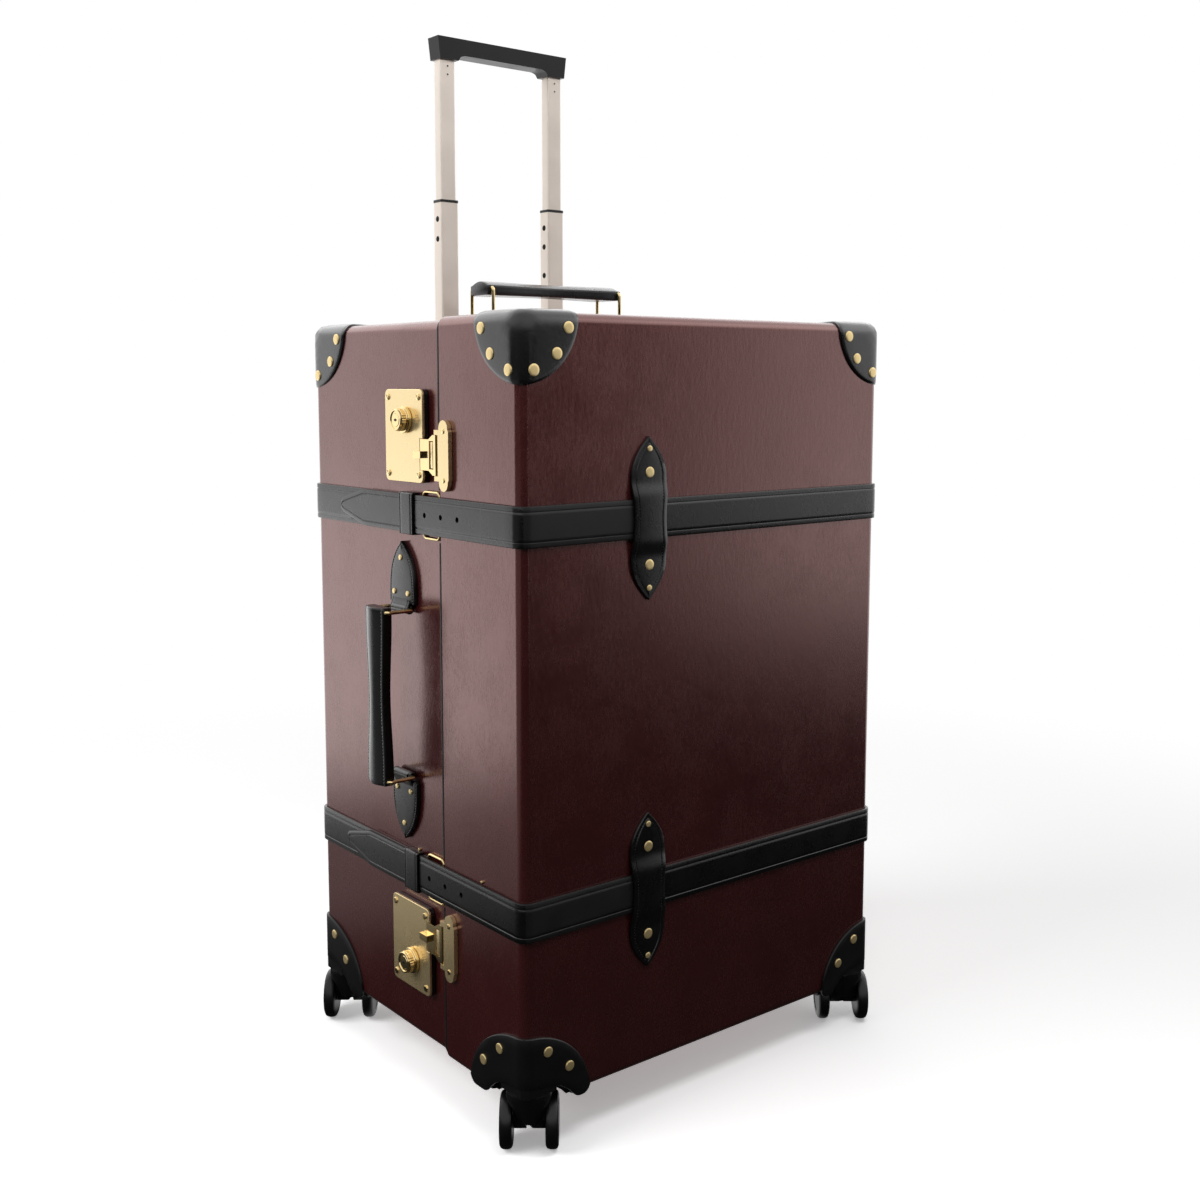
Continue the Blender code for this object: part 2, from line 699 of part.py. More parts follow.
def make_hinges():
    """Two butt hinges on the right: a cranked base leaf with its pin, and a lid leaf."""
    leaf_top = LID_X1 + GAP + HINGE_THICK
    half = HINGE_LENGTH / 2
    middle = KNUCKLE_LENGTH / 2
    for name, z in HINGE_HEIGHTS.items():
        base = box("hinge_base_" + name, (BASE_X1 + GAP, SEAM_Y + SEAM_GAP, z - half),
                   (leaf_top, SEAM_Y + HINGE_LEAF, z + half))
        lid = box("hinge_lid_" + name, (LID_X1 + GAP, SEAM_Y - HINGE_LEAF, z - half),
                  (leaf_top, SEAM_Y - SEAM_GAP, z + half))
        cut(base, hinge_rod(z - middle - GAP, z + middle + GAP, KNUCKLE_RADIUS + GAP))
        for low, high in ((z - half, z - middle - GAP), (z + middle + GAP, z + half)):
            join(base, hinge_rod(low, high, KNUCKLE_RADIUS))
            cut(lid, hinge_rod(low - half, high + GAP, KNUCKLE_RADIUS + GAP) if low < z - middle
                else hinge_rod(low - GAP, high + half, KNUCKLE_RADIUS + GAP))
        join(lid, hinge_rod(z - middle, z + middle, KNUCKLE_RADIUS))
        cut(lid, hinge_rod(z - half, z + half, PIN_RADIUS + GAP))
        join(base, hinge_rod(z - half + WALL, z + half - WALL, PIN_RADIUS))
        finish(base, BRASS)
        finish(lid, BRASS, (HINGE_X, SEAM_Y, z))


def hinge_rod(low, high, radius):
    """A round along the lid's hinge axis between two heights."""
    return rod("hinge_round", (HINGE_X, SEAM_Y, low), (HINGE_X, SEAM_Y, high), radius, 12)


def band_path(x0, x1, y, sign, offset, left_y, right_y):
    """The path of a strap round two corners, at an offset from the faces."""
    radius = EDGE_RADIUS
    corner_y = y - sign * radius
    path = [(x0 - offset, left_y)]
    path += arc((x0 + radius, corner_y), radius + offset, 180, 180 - sign * 90, STRAP_ARC_STEPS)
    path += arc((x1 - radius, corner_y), radius + offset, sign * 90, 0, STRAP_ARC_STEPS)
    path.append((x1 + offset, right_y))
    return path


def band(name, z, case, ends):
    """A flat strap at a height, round the lid or the base, between its two ends."""
    outer = band_path(*case, GAP + STRAP_THICK, *ends)
    inner = band_path(*case, GAP, *ends)
    place = frame_at((0, 0, z), (1, 0, 0), (0, 1, 0), UP)
    return slab(name, [outer + inner[::-1]], place, -STRAP_WIDTH / 2, STRAP_WIDTH / 2)


def strap_tail_outline():
    """A straight strap end with a long straight taper and a blunt, rounded tip."""
    half = STRAP_WIDTH / 2
    blunt = TAIL_TIP_HALF
    points = [(0, -half), (TAIL_LENGTH - TAIL_POINT, -half)]
    points += arc((TAIL_LENGTH - blunt, 0), blunt, -65, 0, TAIL_TIP_STEPS)
    return points + [(x, -y) for x, y in reversed(points[:-1])]


def make_straps():
    """Each strap: a part round the base, a part round the lid, and the tail over the buckle."""
    tail_y = SEAM_Y - TAIL_HINGE_BEFORE_SEAM
    buckle_y = SEAM_Y + BUCKLE_FROM_SEAM
    strap_end = buckle_y + BUCKLE_LENGTH + GAP
    tail_low = 2 * GAP + STRAP_THICK
    tail_high = tail_low + STRAP_THICK
    base_case = (BASE_X0, BASE_X1, BACK_Y, 1)
    lid_case = (LID_X0, LID_X1, FRONT_Y, -1)
    hole_y = tail_y + HOLE_FIRST - HOLE_PITCH
    holes = [tail_y + HOLE_FIRST, tail_y + HOLE_FIRST + HOLE_PITCH]
    buckle = rounded_rectangle(BUCKLE_LENGTH - 2 * BUCKLE_WIRE,
                               STRAP_WIDTH + 2 * (BUCKLE_MARGIN - BUCKLE_WIRE), BUCKLE_CORNER)
    for name, z in STRAP_HEIGHTS.items():
        finish(band("strap_base_" + name, z, base_case, (strap_end, SEAM_Y + SEAM_GAP)), LEATHER)
        lid_strap = band("strap_lid_" + name, z, lid_case, (tail_y - GAP, SEAM_Y - SEAM_GAP))
        cut(lid_strap, rod("hole", (LID_X0 - EDGE_RADIUS, hole_y, z), (LID_X0, hole_y, z),
                           HOLE_RADIUS, 10))
        finish(lid_strap, LEATHER, (HINGE_X, SEAM_Y, z))
        place = on_left(tail_y, z, BASE_X0)
        tail = slab("strap_tail_" + name, [strap_tail_outline()], place, tail_low, tail_high)
        join(tail, strap_loop(tail_y + LOOP_AT, z, tail_high))
        for y in holes:
            cut(tail, rod("hole", (LID_X0 - EDGE_RADIUS, y, z), (BASE_X0, y, z), HOLE_RADIUS, 10))
        finish(tail, LEATHER, (BASE_X0 - tail_high, tail_y, z))
        middle = on_left(buckle_y + BUCKLE_LENGTH / 2, z, BASE_X0 - GAP - BUCKLE_WIRE)
        finish(wire_ring("buckle_" + name, buckle, middle, BUCKLE_WIRE), BRASS)


def strap_loop(y, z, tail_top):
    """The leather loop that holds the tail: a channel over the two layers of strap."""
    inner = STRAP_WIDTH / 2 + GAP
    outer = inner + LOOP_THICK
    under = tail_top - LOOP_THICK / 4
    top = tail_top + LOOP_THICK
    points = [(-outer, GAP), (-outer, top), (outer, top), (outer, GAP)]
    points += [(inner, GAP), (inner, under), (-inner, under), (-inner, GAP)]
    place = frame_at((BASE_X0, y, z), UP, LEFT, BACK)
    return slab("strap_loop", [points], place, -LOOP_WIDTH / 2, LOOP_WIDTH / 2)


def keeper_half_width(z):
    """Half the width of a strap keeper at a height from its middle: a waist, a bulge, a point."""
    bulge_at = KEEPER_LENGTH / 4
    z = abs(z)
    if z < bulge_at:
        swell = math.sin(math.pi / 2 * z / bulge_at) ** 2
        return KEEPER_WAIST + (KEEPER_BULGE - KEEPER_WAIST) * swell
    t = (z - bulge_at) / (KEEPER_LENGTH / 2 - bulge_at)
    return KEEPER_BULGE * max(0.0, 1 - t ** 2)


def make_keepers():
    half = KEEPER_LENGTH / 2
    steps = 20
    side = []
    for i in range(steps + 1):
        z = -half * math.cos(math.pi * i / steps)
        side.append((keeper_half_width(z), z))
    outline = side[1:-1] + [(0, half)] + [(-x, z) for x, z in reversed(side[1:-1])] + [(0, -half)]
    tunnel = STRAP_WIDTH / 2 + GAP
    low = GAP
    roof = 2 * GAP + STRAP_THICK
    ramp = tunnel + KEEPER_RAMP
    profile = [(-half, low), (-tunnel, low), (-tunnel, roof), (tunnel, roof), (tunnel, low), (half, low)]
    profile += [(half, low + KEEPER_THICK), (ramp, low + KEEPER_THICK), (tunnel, roof + KEEPER_THICK)]
    profile += [(-tunnel, roof + KEEPER_THICK), (-ramp, low + KEEPER_THICK), (-half, low + KEEPER_THICK)]
    x = LID_X0 + KEEPER_AT
    for name, z in STRAP_HEIGHTS.items():
        arched = frame_at((x, FRONT_Y, z), UP, FRONT, RIGHT)
        keeper = slab("front_keeper_" + name, [profile], arched, -2 * KEEPER_BULGE, 2 * KEEPER_BULGE)
        flat = frame_at((x, FRONT_Y, z), RIGHT, UP, FRONT)
        keep(keeper, slab("keeper_outline", [outline], flat, -KEEPER_THICK, 4 * KEEPER_THICK))
        finish(keeper, LEATHER, (HINGE_X, SEAM_Y, z))


def make_locks():
    """Each lock: plate and dial on the base, hasp plate on the lid, hinged hasp between."""
    y = SEAM_Y + LOCK_FROM_SEAM
    heights = {"upper": (LID_Z1 - LOCK_BELOW_TOP, 1), "lower": (LID_Z0 + LOCK_ABOVE_BOTTOM, -1)}
    for name, (z, up) in heights.items():
        hasp_z = z - up * HASP_DOWN
        plate = slab("lock_plate_" + name, [rounded_rectangle(LOCK_WIDTH, LOCK_HEIGHT, LOCK_CORNER)],
                     on_left(y, z, BASE_X0), GAP, GAP + LOCK_THICK)
        front = y - LOCK_WIDTH / 2
        face_x = BASE_X0 - GAP - LOCK_THICK
        seat_half = HASP_TONGUE_HALF + GAP
        seat = box("seat", (face_x - LOCK_THICK, front - WALL, hasp_z - seat_half),
                   (face_x + HASP_THICK + GAP, front + HASP_TONGUE + GAP, hasp_z + seat_half))
        cut(plate, seat)
        dial_y = y - DIAL_FORWARD
        dial_z = z + up * DIAL_UP
        depth = DIAL_SPINDLE_DEPTH + GAP
        cut(plate, rod("spindle_bore", (face_x - WALL, dial_y, dial_z), (face_x + depth, dial_y, dial_z),
                       DIAL_SPINDLE + GAP))
        finish(plate, BRASS)
        make_dial("dial_" + name, Vector((face_x, dial_y, dial_z)))
        make_hasp_plate("hasp_plate_" + name, hasp_z)
        make_hasp("hasp_" + name, hasp_z, front + HASP_TONGUE)


def make_dial(name, seat):
    """A lock's turning knob: collar, grip and the spindle that holds it in the plate."""
    low = GAP
    profile = [
        (0.0, low + DIAL_HEIGHT - DIAL_DISH),
        (DIAL_RADIUS * 0.72, low + DIAL_HEIGHT - DIAL_DISH),
        (DIAL_RADIUS * 0.80, low + DIAL_HEIGHT),
        (DIAL_RADIUS * 0.94, low + DIAL_HEIGHT),
        (DIAL_RADIUS, low + DIAL_HEIGHT * 0.92),
        (DIAL_RADIUS, low + DIAL_COLLAR_HEIGHT),
        (DIAL_COLLAR, low + DIAL_COLLAR_HEIGHT),
        (DIAL_COLLAR, low),
        (DIAL_SPINDLE, low),
        (DIAL_SPINDLE, -DIAL_SPINDLE_DEPTH),
        (0.0, -DIAL_SPINDLE_DEPTH),
    ]
    outwards = Matrix.Rotation(math.radians(-90), 4, "Y")
    dial = turned(name, profile, 16, Matrix.Translation(seat) @ outwards)
    finish(dial, BRASS, seat)


def hasp_axis():
    """The hasp's hinge axis in plan."""
    return LID_X0 - GAP - HASP_BARREL, SEAM_Y + HASP_AXIS_PAST_SEAM


def make_hasp_plate(name, z):
    """The plate on the lid: scalloped ends, two ears and the pin between them."""
    axis_x, axis_y = hasp_axis()
    half = HASP_PLATE_LENGTH / 2
    width = HASP_PLATE_WIDTH / 2
    neck = width * 0.84
    shoulder = half - neck - width * 0.35
    side = [(width, shoulder), (neck, shoulder + width * 0.2)]
    side += arc((0, half - neck), neck, 0, 90, 4)
    top = side + [(-x, h) for x, h in reversed(side[:-1])]
    outline = top + [(-x, -h) for x, h in top]
    middle_y = SEAM_Y - HASP_PLATE_BEHIND - width
    place = on_left(middle_y, z, LID_X0)
    plate = slab(name, [outline], place, GAP, GAP + HASP_PLATE_THICK)
    for side in (1, -1):
        low_z = z + side * (HASP_BARREL_HALF + GAP)
        high_z = low_z + side * HASP_EAR
        low = (axis_x - HASP_BARREL, middle_y, min(low_z, high_z))
        high = (LID_X0 - GAP, axis_y + HASP_BARREL, max(low_z, high_z))
        join(plate, box("ear", low, high))
    reach = HASP_BARREL_HALF + HASP_EAR / 2
    join(plate, rod("hasp_pin", (axis_x, axis_y, z - reach), (axis_x, axis_y, z + reach), HASP_PIN, 10))
    finish(plate, BRASS, (HINGE_X, SEAM_Y, z))


def make_hasp(name, z, tongue_y):
    """The swinging hasp: barrel, windowed link, tongue seated in the lock plate, lifting tab."""
    axis_x, axis_y = hasp_axis()
    reach = tongue_y - axis_y
    wide = HASP_BARREL_HALF
    slim = HASP_TONGUE_HALF
    outline = [(0, -wide), (reach * 0.2, -wide), (reach * 0.45, -slim), (reach, -slim)]
    outline += [(y, -h) for y, h in reversed(outline)]
    near, far, tall = HASP_WINDOW
    window = [(near, -tall), (far, -tall), (far, tall), (near, tall)]
    place = on_left(axis_y, z, LID_X0)
    high = LOCK_FACE
    hasp = slab(name, [outline, window], place, high - HASP_THICK, high)
    low = (axis_x, axis_y, z - wide)
    top = (axis_x, axis_y, z + wide)
    join(hasp, rod("barrel", low, top, HASP_BARREL, 12))
    cut(hasp, rod("bore", (axis_x, axis_y, z - 2 * wide), (axis_x, axis_y, z + 2 * wide),
                  HASP_PIN + GAP, 10))
    length, tall, thick = TAB_SIZE
    plate_x = LID_X0 - LOCK_FACE
    tab = box("tab", (plate_x - GAP - thick, tongue_y - length / 2, z - tall / 2),
              (plate_x - GAP, tongue_y + length / 2, z + tall / 2))
    foot = box("tab_foot", (plate_x - thick / 2, tongue_y - length / 2, z - tall / 2),
               (plate_x + HASP_THICK / 2, tongue_y - GAP, z + tall / 2))
    join(tab, foot)
    join(hasp, tab)
    finish(hasp, BRASS, (axis_x, axis_y, z))


def chape_outline():
    """A lancet leaf: a short neck by the link, full shoulders and a pointed end."""
    points = [(LOOP_ROLL_RADIUS * 0.2, CHAPE_NECK), (CHAPE_NECK_END, CHAPE_NECK)]
    start = CHAPE_SHOULDER
    steps = 8
    for i in range(steps):
        t = i / steps
        points.append((start + (CHAPE_LENGTH - start) * t, CHAPE_HALF * (1 - t ** 3.4)))
    points.append((CHAPE_LENGTH, 0.0))
    return points + [(s, -w) for s, w in reversed(points[:-1])]


def make_chape(name, seat, along, across, out):
    """A leather anchor on a face, folded round the inner bar of a wire link."""
    place = frame_at(seat, along, across, out)
    leaf = slab(name, [chape_outline()], place, GAP, GAP + CHAPE_THICK)
    axis = Vector(seat) + Vector(out) * LOOP_AXIS
    across = Vector(across)
    join(leaf, rod("roll", axis - across * LOOP_ROLL_HALF, axis + across * LOOP_ROLL_HALF,
                   LOOP_ROLL_RADIUS, 14))
    cut(leaf, rod("roll_bore", axis - across * LINK_WIDTH, axis + across * LINK_WIDTH, LINK_WIRE + GAP, 12))
    finish(leaf, LEATHER)


def grip_bar(name, middle, along, across, out, span):
    """A stitched leather grip, slimmer at its waist, with a bore at each end for its link."""
    half = span / 2 + GRIP_OVERHANG
    bm = bmesh.new()
    bmesh.ops.create_cube(bm, size=2.0)
    lengthwise = [edge for edge in bm.edges if abs(edge.verts[0].co.x - edge.verts[1].co.x) > 1]
    bmesh.ops.subdivide_edges(bm, edges=lengthwise, cuts=5)
    for vert in bm.verts:
        waist = math.cos(math.pi / 2 * min(1.0, abs(vert.co.x) * 1.15)) ** 2
        width = GRIP_WIDTH + (GRIP_WAIST - GRIP_WIDTH) * waist
        vert.co = (vert.co.x * half, vert.co.y * width / 2, vert.co.z * GRIP_THICK / 2)
    bmesh.ops.transform(bm, matrix=frame_at(middle, along, across, out), verts=bm.verts)
    obj = add_object(name, mesh_of(bm, name), smooth=False)
    rounding = obj.modifiers.new("rounding", "BEVEL")
    rounding.width = GRIP_BEVEL
    rounding.segments = 2
    rounding.limit_method = "ANGLE"
    rounding.angle_limit = math.radians(40)
    bake(obj)
    along = Vector(along)
    across = Vector(across)
    for side in (-1, 1):
        bar = Vector(middle) + along * (side * span / 2)
        cut(obj, rod("grip_bore", bar - across * LINK_WIDTH, bar + across * LINK_WIDTH, LINK_WIRE + GAP, 12))
    return obj


def link_ring(name, axis, along_legs, across, length):
    """A rectangular wire link, its origin on its inner bar."""
    outline = rounded_rectangle(length, LINK_WIDTH, LINK_CORNER)
    outline = [(x + length / 2, y) for x, y in outline]
    normal = Vector(along_legs).cross(Vector(across))
    ring = wire_ring(name, outline, frame_at(axis, along_legs, across, normal), LINK_WIRE)
    return finish(ring, BRASS, axis)


def make_handle(prefix, seat, along, across, out, span, length, ends):
    """A carrying handle: two anchors on the case, two wire links and the grip."""
    seat = Vector(seat)
    along = Vector(along)
    out = Vector(out)
    for side, end in zip((-1, 1), ends):
        point = seat + along * (side * span / 2)
        make_chape(prefix + "_chape_" + end, point, along * side, across, out)
        link_ring(prefix + "_link_" + end, point + out * LOOP_AXIS, out, across, length)
    bar = seat + out * (LOOP_AXIS + length)
    grip = grip_bar(prefix + "_grip", bar, along, across, out, span)
    finish(grip, LEATHER, bar - along * (span / 2))


def make_handles():
    side_seat = (BASE_X0, SEAM_Y + HANDLE_FROM_SEAM, HANDLE_Z)
    make_handle("side", side_seat, UP, BACK, LEFT, SIDE_LINK_SPAN, SIDE_LINK_LENGTH, ("lower", "upper"))
    top_seat = (CASE_X, BACK_Y - TOP_HANDLE_FROM_BACK, BASE_Z1)
    make_handle("top", top_seat, RIGHT, BACK, UP, TOP_LINK_SPAN, TOP_LINK_LENGTH, ("left", "right"))


def bar(name, x, size, bottom, top):
    """An upright bar of rounded rectangular section on a trolley tube's axis."""
    place = frame_at((x, TUBE_Y, 0), (1, 0, 0), (0, 1, 0), UP)
    return slab(name, [rounded_rectangle(*size, TUBE_CORNER)], place, bottom, top)


def widened(size, margin):
    return size[0] + 2 * margin, size[1] + 2 * margin


def make_trolley():
    """The frame in the base, the outer tubes with their collars, the inner tubes and the grip."""
    collar_z = LID_Z1 + COLLAR_ABOVE_TOP
    collar_top = collar_z + COLLAR_HEIGHT
    grip_z = LID_Z1 + GRIP_ABOVE_TOP
    inner_top = grip_z + TROLLEY_GRIP_SOCKET - GAP
    for side, x in tube_points().items():
        bottom = LID_Z1 - TUBE_OVERLAP
        outer = bar("outer_tube_" + side, x, OUTER_TUBE, bottom, collar_z + COLLAR_HEIGHT / 2)
        join(outer, bar("collar", x, widened(OUTER_TUBE, COLLAR_LIP), collar_z, collar_top))
        cut(outer, bar("bore", x, OUTER_BORE, bottom - WALL, collar_top + WALL))
        finish(outer, CHAMPAGNE, (x, TUBE_Y, collar_z))
        bottom = collar_z - TUBE_OVERLAP
        inner = bar("inner_tube_" + side, x, INNER_TUBE, bottom, inner_top)
        cut(inner, bar("bore", x, INNER_BORE, bottom - WALL, inner_top + WALL))
        finish(inner, CHAMPAGNE, (x, TUBE_Y, grip_z))
    make_trolley_frame()
    make_trolley_cover()
    make_trolley_grip(grip_z)


def make_trolley_frame():
    """Two sleeves with a bezel on the case top, standing on one bracket on the back panel."""
    top = BASE_Z1 + GAP + BEZEL_HEIGHT
    sleeve_low = BASE_Z1 - SLEEVE_LENGTH
    low = sleeve_low - TROLLEY_FOOT_FLOOR
    half = TUBE_SPACING / 2 + SLEEVE_OUT[0] / 2 + TROLLEY_FOOT_SIDE
    frame = box("trolley_frame", (CASE_X - half, COVER_BACK_Y + GAP, low),
                (CASE_X + half, BACK_Y - WALL - GAP, low + TROLLEY_FOOT_HEIGHT))
    gap_half = TUBE_SPACING / 2 - SLEEVE_OUT[0] / 2 - TROLLEY_FOOT_SIDE
    relief = box("relief", (CASE_X - gap_half, COVER_BACK_Y, sleeve_low),
                 (CASE_X + gap_half, BACK_Y - WALL - TROLLEY_FOOT_FLOOR / 2, BASE_Z1))
    cut(frame, relief)
    for x in tube_points().values():
        join(frame, bar("sleeve", x, SLEEVE_OUT, sleeve_low - GAP, BASE_Z1 + 2 * GAP))
        join(frame, bar("bezel", x, widened(SLEEVE_OUT, BEZEL_LIP), BASE_Z1 + GAP, top))
        cut(frame, bar("bore", x, SLEEVE_IN, sleeve_low, top + WALL))
    finish(frame, PLASTIC)


def make_trolley_cover():
    """The lining board that hides the trolley inside the base."""
    outline, place = across_base(COVER_BACK_Y)
    cover = slab("trolley_cover", [outline], place, -COVER_THICK, 0)
    for name, point in swivel_points().items():
        notch(cover, point)
    finish(cover, LINING)


def make_trolley_grip(grip_z):
    """The moulded grip: sloped ends, arched underside, sockets for the tubes, a side button."""
    half = TROLLEY_GRIP_LENGTH / 2
    foot = half - TROLLEY_GRIP_SLOPE
    inside = TUBE_SPACING / 2 - INNER_TUBE[0] / 2 - TROLLEY_GRIP_SLOPE
    arch = TROLLEY_GRIP_ARCH
    shoulder = TROLLEY_GRIP_SHOULDER
    side = [(inside, 0.0), (foot, 0.0), (half, TROLLEY_GRIP_HEIGHT)]
    inner = arc((inside - shoulder, 0.0), shoulder, 90, 40, 4)
    inner = [(x, z * arch / shoulder) for x, z in inner]
    right = inner + side
    outline = right + [(-x, z) for x, z in reversed(right)]
    place = frame_at((CASE_X, TUBE_Y, grip_z), (1, 0, 0), UP, (0, -1, 0))
    grip = slab("trolley_grip", [outline], place, -TROLLEY_GRIP_DEPTH / 2, TROLLEY_GRIP_DEPTH / 2)
    for x in tube_points().values():
        cut(grip, bar("socket", x, widened(INNER_TUBE, GAP), grip_z - WALL, grip_z + TROLLEY_GRIP_SOCKET))
    button_z = grip_z + TROLLEY_GRIP_SOCKET + (TROLLEY_GRIP_HEIGHT - TROLLEY_GRIP_SOCKET) / 2
    end = Vector((CASE_X + half, TUBE_Y, button_z))
    inward = Vector((BUTTON_LENGTH, 0, 0))
    cut(grip, rod("button_bore", end - 2 * inward, end + inward, BUTTON_RADIUS + GAP))
    finish(grip, PLASTIC, (CASE_X, TUBE_Y, grip_z))
    proud = Vector((BUTTON_PROUD, 0, 0))
    button = rod("trolley_button", end - inward, end + proud, BUTTON_RADIUS)
    finish(button, PLASTIC, end)


make_shells()
make_rim()
make_corners()
make_casters()
make_hinges()
make_straps()
make_keepers()
make_locks()
make_handles()
make_trolley()
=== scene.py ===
# %% [markdown]
# A luggage trunk, dressed for its picture.
#
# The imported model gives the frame: every solid of the trunk, in metres, on the body that it
# moves with. This lesson gives each solid its finish. Hard pieces get a cleaned copy with
# rounded edges. Leather is made again as leather: strips with pressed lines, moulded corners,
# stitched leaves and grips.

# %% Load the frame
import json
import math

import bmesh
import bpy
from mathutils import Matrix, Vector
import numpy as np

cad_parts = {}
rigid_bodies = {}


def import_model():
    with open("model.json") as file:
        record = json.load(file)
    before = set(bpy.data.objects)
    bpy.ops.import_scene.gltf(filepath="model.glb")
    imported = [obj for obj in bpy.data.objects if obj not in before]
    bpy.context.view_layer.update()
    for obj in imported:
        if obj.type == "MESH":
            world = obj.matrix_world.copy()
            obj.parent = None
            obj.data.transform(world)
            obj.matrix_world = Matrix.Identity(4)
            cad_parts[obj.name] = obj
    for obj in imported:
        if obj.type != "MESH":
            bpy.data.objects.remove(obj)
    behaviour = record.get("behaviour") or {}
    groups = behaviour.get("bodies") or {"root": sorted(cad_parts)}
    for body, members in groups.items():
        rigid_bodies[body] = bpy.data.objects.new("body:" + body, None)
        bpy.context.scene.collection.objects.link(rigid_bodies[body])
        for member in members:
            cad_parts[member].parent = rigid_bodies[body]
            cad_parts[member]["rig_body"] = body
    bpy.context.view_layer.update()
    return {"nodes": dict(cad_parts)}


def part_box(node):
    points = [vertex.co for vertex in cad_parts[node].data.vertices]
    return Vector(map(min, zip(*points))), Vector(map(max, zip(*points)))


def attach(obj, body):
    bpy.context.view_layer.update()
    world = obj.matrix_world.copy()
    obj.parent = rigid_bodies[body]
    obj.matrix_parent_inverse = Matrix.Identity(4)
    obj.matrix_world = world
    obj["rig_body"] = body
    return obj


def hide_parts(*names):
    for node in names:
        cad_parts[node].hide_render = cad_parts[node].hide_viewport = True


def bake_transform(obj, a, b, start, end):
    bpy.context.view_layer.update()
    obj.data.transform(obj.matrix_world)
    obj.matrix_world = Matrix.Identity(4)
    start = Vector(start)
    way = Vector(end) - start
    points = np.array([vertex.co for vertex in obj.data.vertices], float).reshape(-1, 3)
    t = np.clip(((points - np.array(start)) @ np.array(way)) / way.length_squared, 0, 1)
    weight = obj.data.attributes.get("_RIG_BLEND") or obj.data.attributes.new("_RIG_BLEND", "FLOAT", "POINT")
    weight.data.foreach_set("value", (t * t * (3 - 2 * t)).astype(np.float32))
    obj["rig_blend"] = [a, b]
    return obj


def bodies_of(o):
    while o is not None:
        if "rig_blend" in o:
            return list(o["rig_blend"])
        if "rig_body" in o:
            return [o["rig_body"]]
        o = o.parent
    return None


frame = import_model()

# %% [markdown]
# Everything below is placed from the solids themselves. The lid and the base are two open
# boxes that meet at the seam, so their corners give all the planes that the trimmings sit on.

# %% Planes of the case


def corners(node):
    """The lowest and the highest corner of a solid."""
    return [Vector(corner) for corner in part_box(node)]


LID_LOW, LID_HIGH = corners("lid_shell")
BASE_LOW, BASE_HIGH = corners("base_shell")
FRONT = LID_LOW.y
SEAM = (LID_HIGH.y + BASE_LOW.y) / 2
BACK = BASE_HIGH.y
MIDDLE_X = (LID_LOW.x + LID_HIGH.x) / 2
EDGE = 0.010
GAP = 0.0003
X, Y, Z = Vector((1, 0, 0)), Vector((0, 1, 0)), Vector((0, 0, 1))
ENDS = (("front", LID_LOW, LID_HIGH, FRONT, 1), ("back", BASE_LOW, BASE_HIGH, BACK, -1))
CORNERS = []
for end, low, high, y, sy in ENDS:
    for hand, x, sx in (("left", low.x, 1), ("right", high.x, -1)):
        CORNERS.append((end + "_" + hand, Vector((x, y, low.z)), Vector((x, y, high.z)), sx, sy))
print("case:", [round(v, 4) for v in (*LID_LOW, *BASE_HIGH)])

# %% [markdown]
# The camera comes first. It stands front left of the case, a little below its top, and looks
# down by six degrees. The lens shift keeps the trunk centred without tilting further.

# %% Camera
camera = bpy.data.objects.new("camera", bpy.data.cameras.new("camera"))
bpy.context.scene.collection.objects.link(camera)
camera.data.lens = 41.90
camera.data.sensor_width = 36.0
camera.data.shift_y = -0.0544
LOOK_DOWN, LOOK_RIGHT = math.radians(6.15), math.radians(38.69)
camera.location = (MIDDLE_X - 0.9830, FRONT - 1.0357, LID_LOW.z + 0.6938)
camera.rotation_euler = (math.pi / 2 - LOOK_DOWN, 0, -LOOK_RIGHT)
bpy.context.scene.camera = camera
bpy.context.scene.view_settings.view_transform = "Standard"
print("camera:", [round(v, 3) for v in camera.location])

# %% [markdown]
# The studio is a white sweep behind the trunk, with a dim room behind the camera. The camera
# sees pure white, varnish and metal mirror the sweep where it stands and the room elsewhere,
# and the rest of the light is a soft grey that comes from above. A band of light high on the
# sweep draws the upper edges.

# %% World
scene = bpy.context.scene
world = bpy.data.worlds.new("studio")
scene.world = world
world.use_nodes = True
tree = world.node_tree
tree.nodes.clear()


def add_node(tree, kind, inputs=(), **settings):
    """Add a node, with its plain settings and the values of its sockets."""
    node = tree.nodes.new(kind)
    for key, value in settings.items():
        setattr(node, key, value)
    for key, value in dict(inputs).items():
        node.inputs[key].default_value = value
    return node


def math_node(tree, operation, first, second=None, clamp=False):
    """A math node whose inputs are links or plain numbers."""
    node = add_node(tree, "ShaderNodeMath", operation=operation, use_clamp=clamp)
    for socket, value in zip(node.inputs, (first, second)):
        if isinstance(value, bpy.types.NodeSocket):
            tree.links.new(value, socket)
        elif value is not None:
            socket.default_value = value
    return node.outputs[0]


def graded(tree, value, low, high, start, end):
    """A smooth step of a value, from one level to another."""
    step = add_node(tree, "ShaderNodeMapRange",
                    {"From Min": low, "From Max": high, "To Min": start, "To Max": end},
                    interpolation_type="SMOOTHSTEP")
    tree.links.new(value, step.inputs["Value"])
    return step.outputs[0]


def along_way(tree, vector, way):
    """How far a vector reaches along a direction."""
    dot = add_node(tree, "ShaderNodeVectorMath", operation="DOT_PRODUCT")
    tree.links.new(vector, dot.inputs[0])
    dot.inputs[1].default_value = way
    return dot.outputs["Value"]


def choose(tree, share, first, second):
    """Mix two shaders by a share."""
    mix = add_node(tree, "ShaderNodeMixShader")
    tree.links.new(share, mix.inputs[0])
    tree.links.new(first.outputs[0], mix.inputs[1])
    tree.links.new(second.outputs[0], mix.inputs[2])
    return mix


def sharp_rays(tree):
    """The light path of a tree, and whether a ray comes off metal or varnish or through glass."""
    rays = add_node(tree, "ShaderNodeLightPath")
    sharp = math_node(tree, "ADD", rays.outputs["Is Glossy Ray"], rays.outputs["Is Transmission Ray"], True)
    return rays, sharp


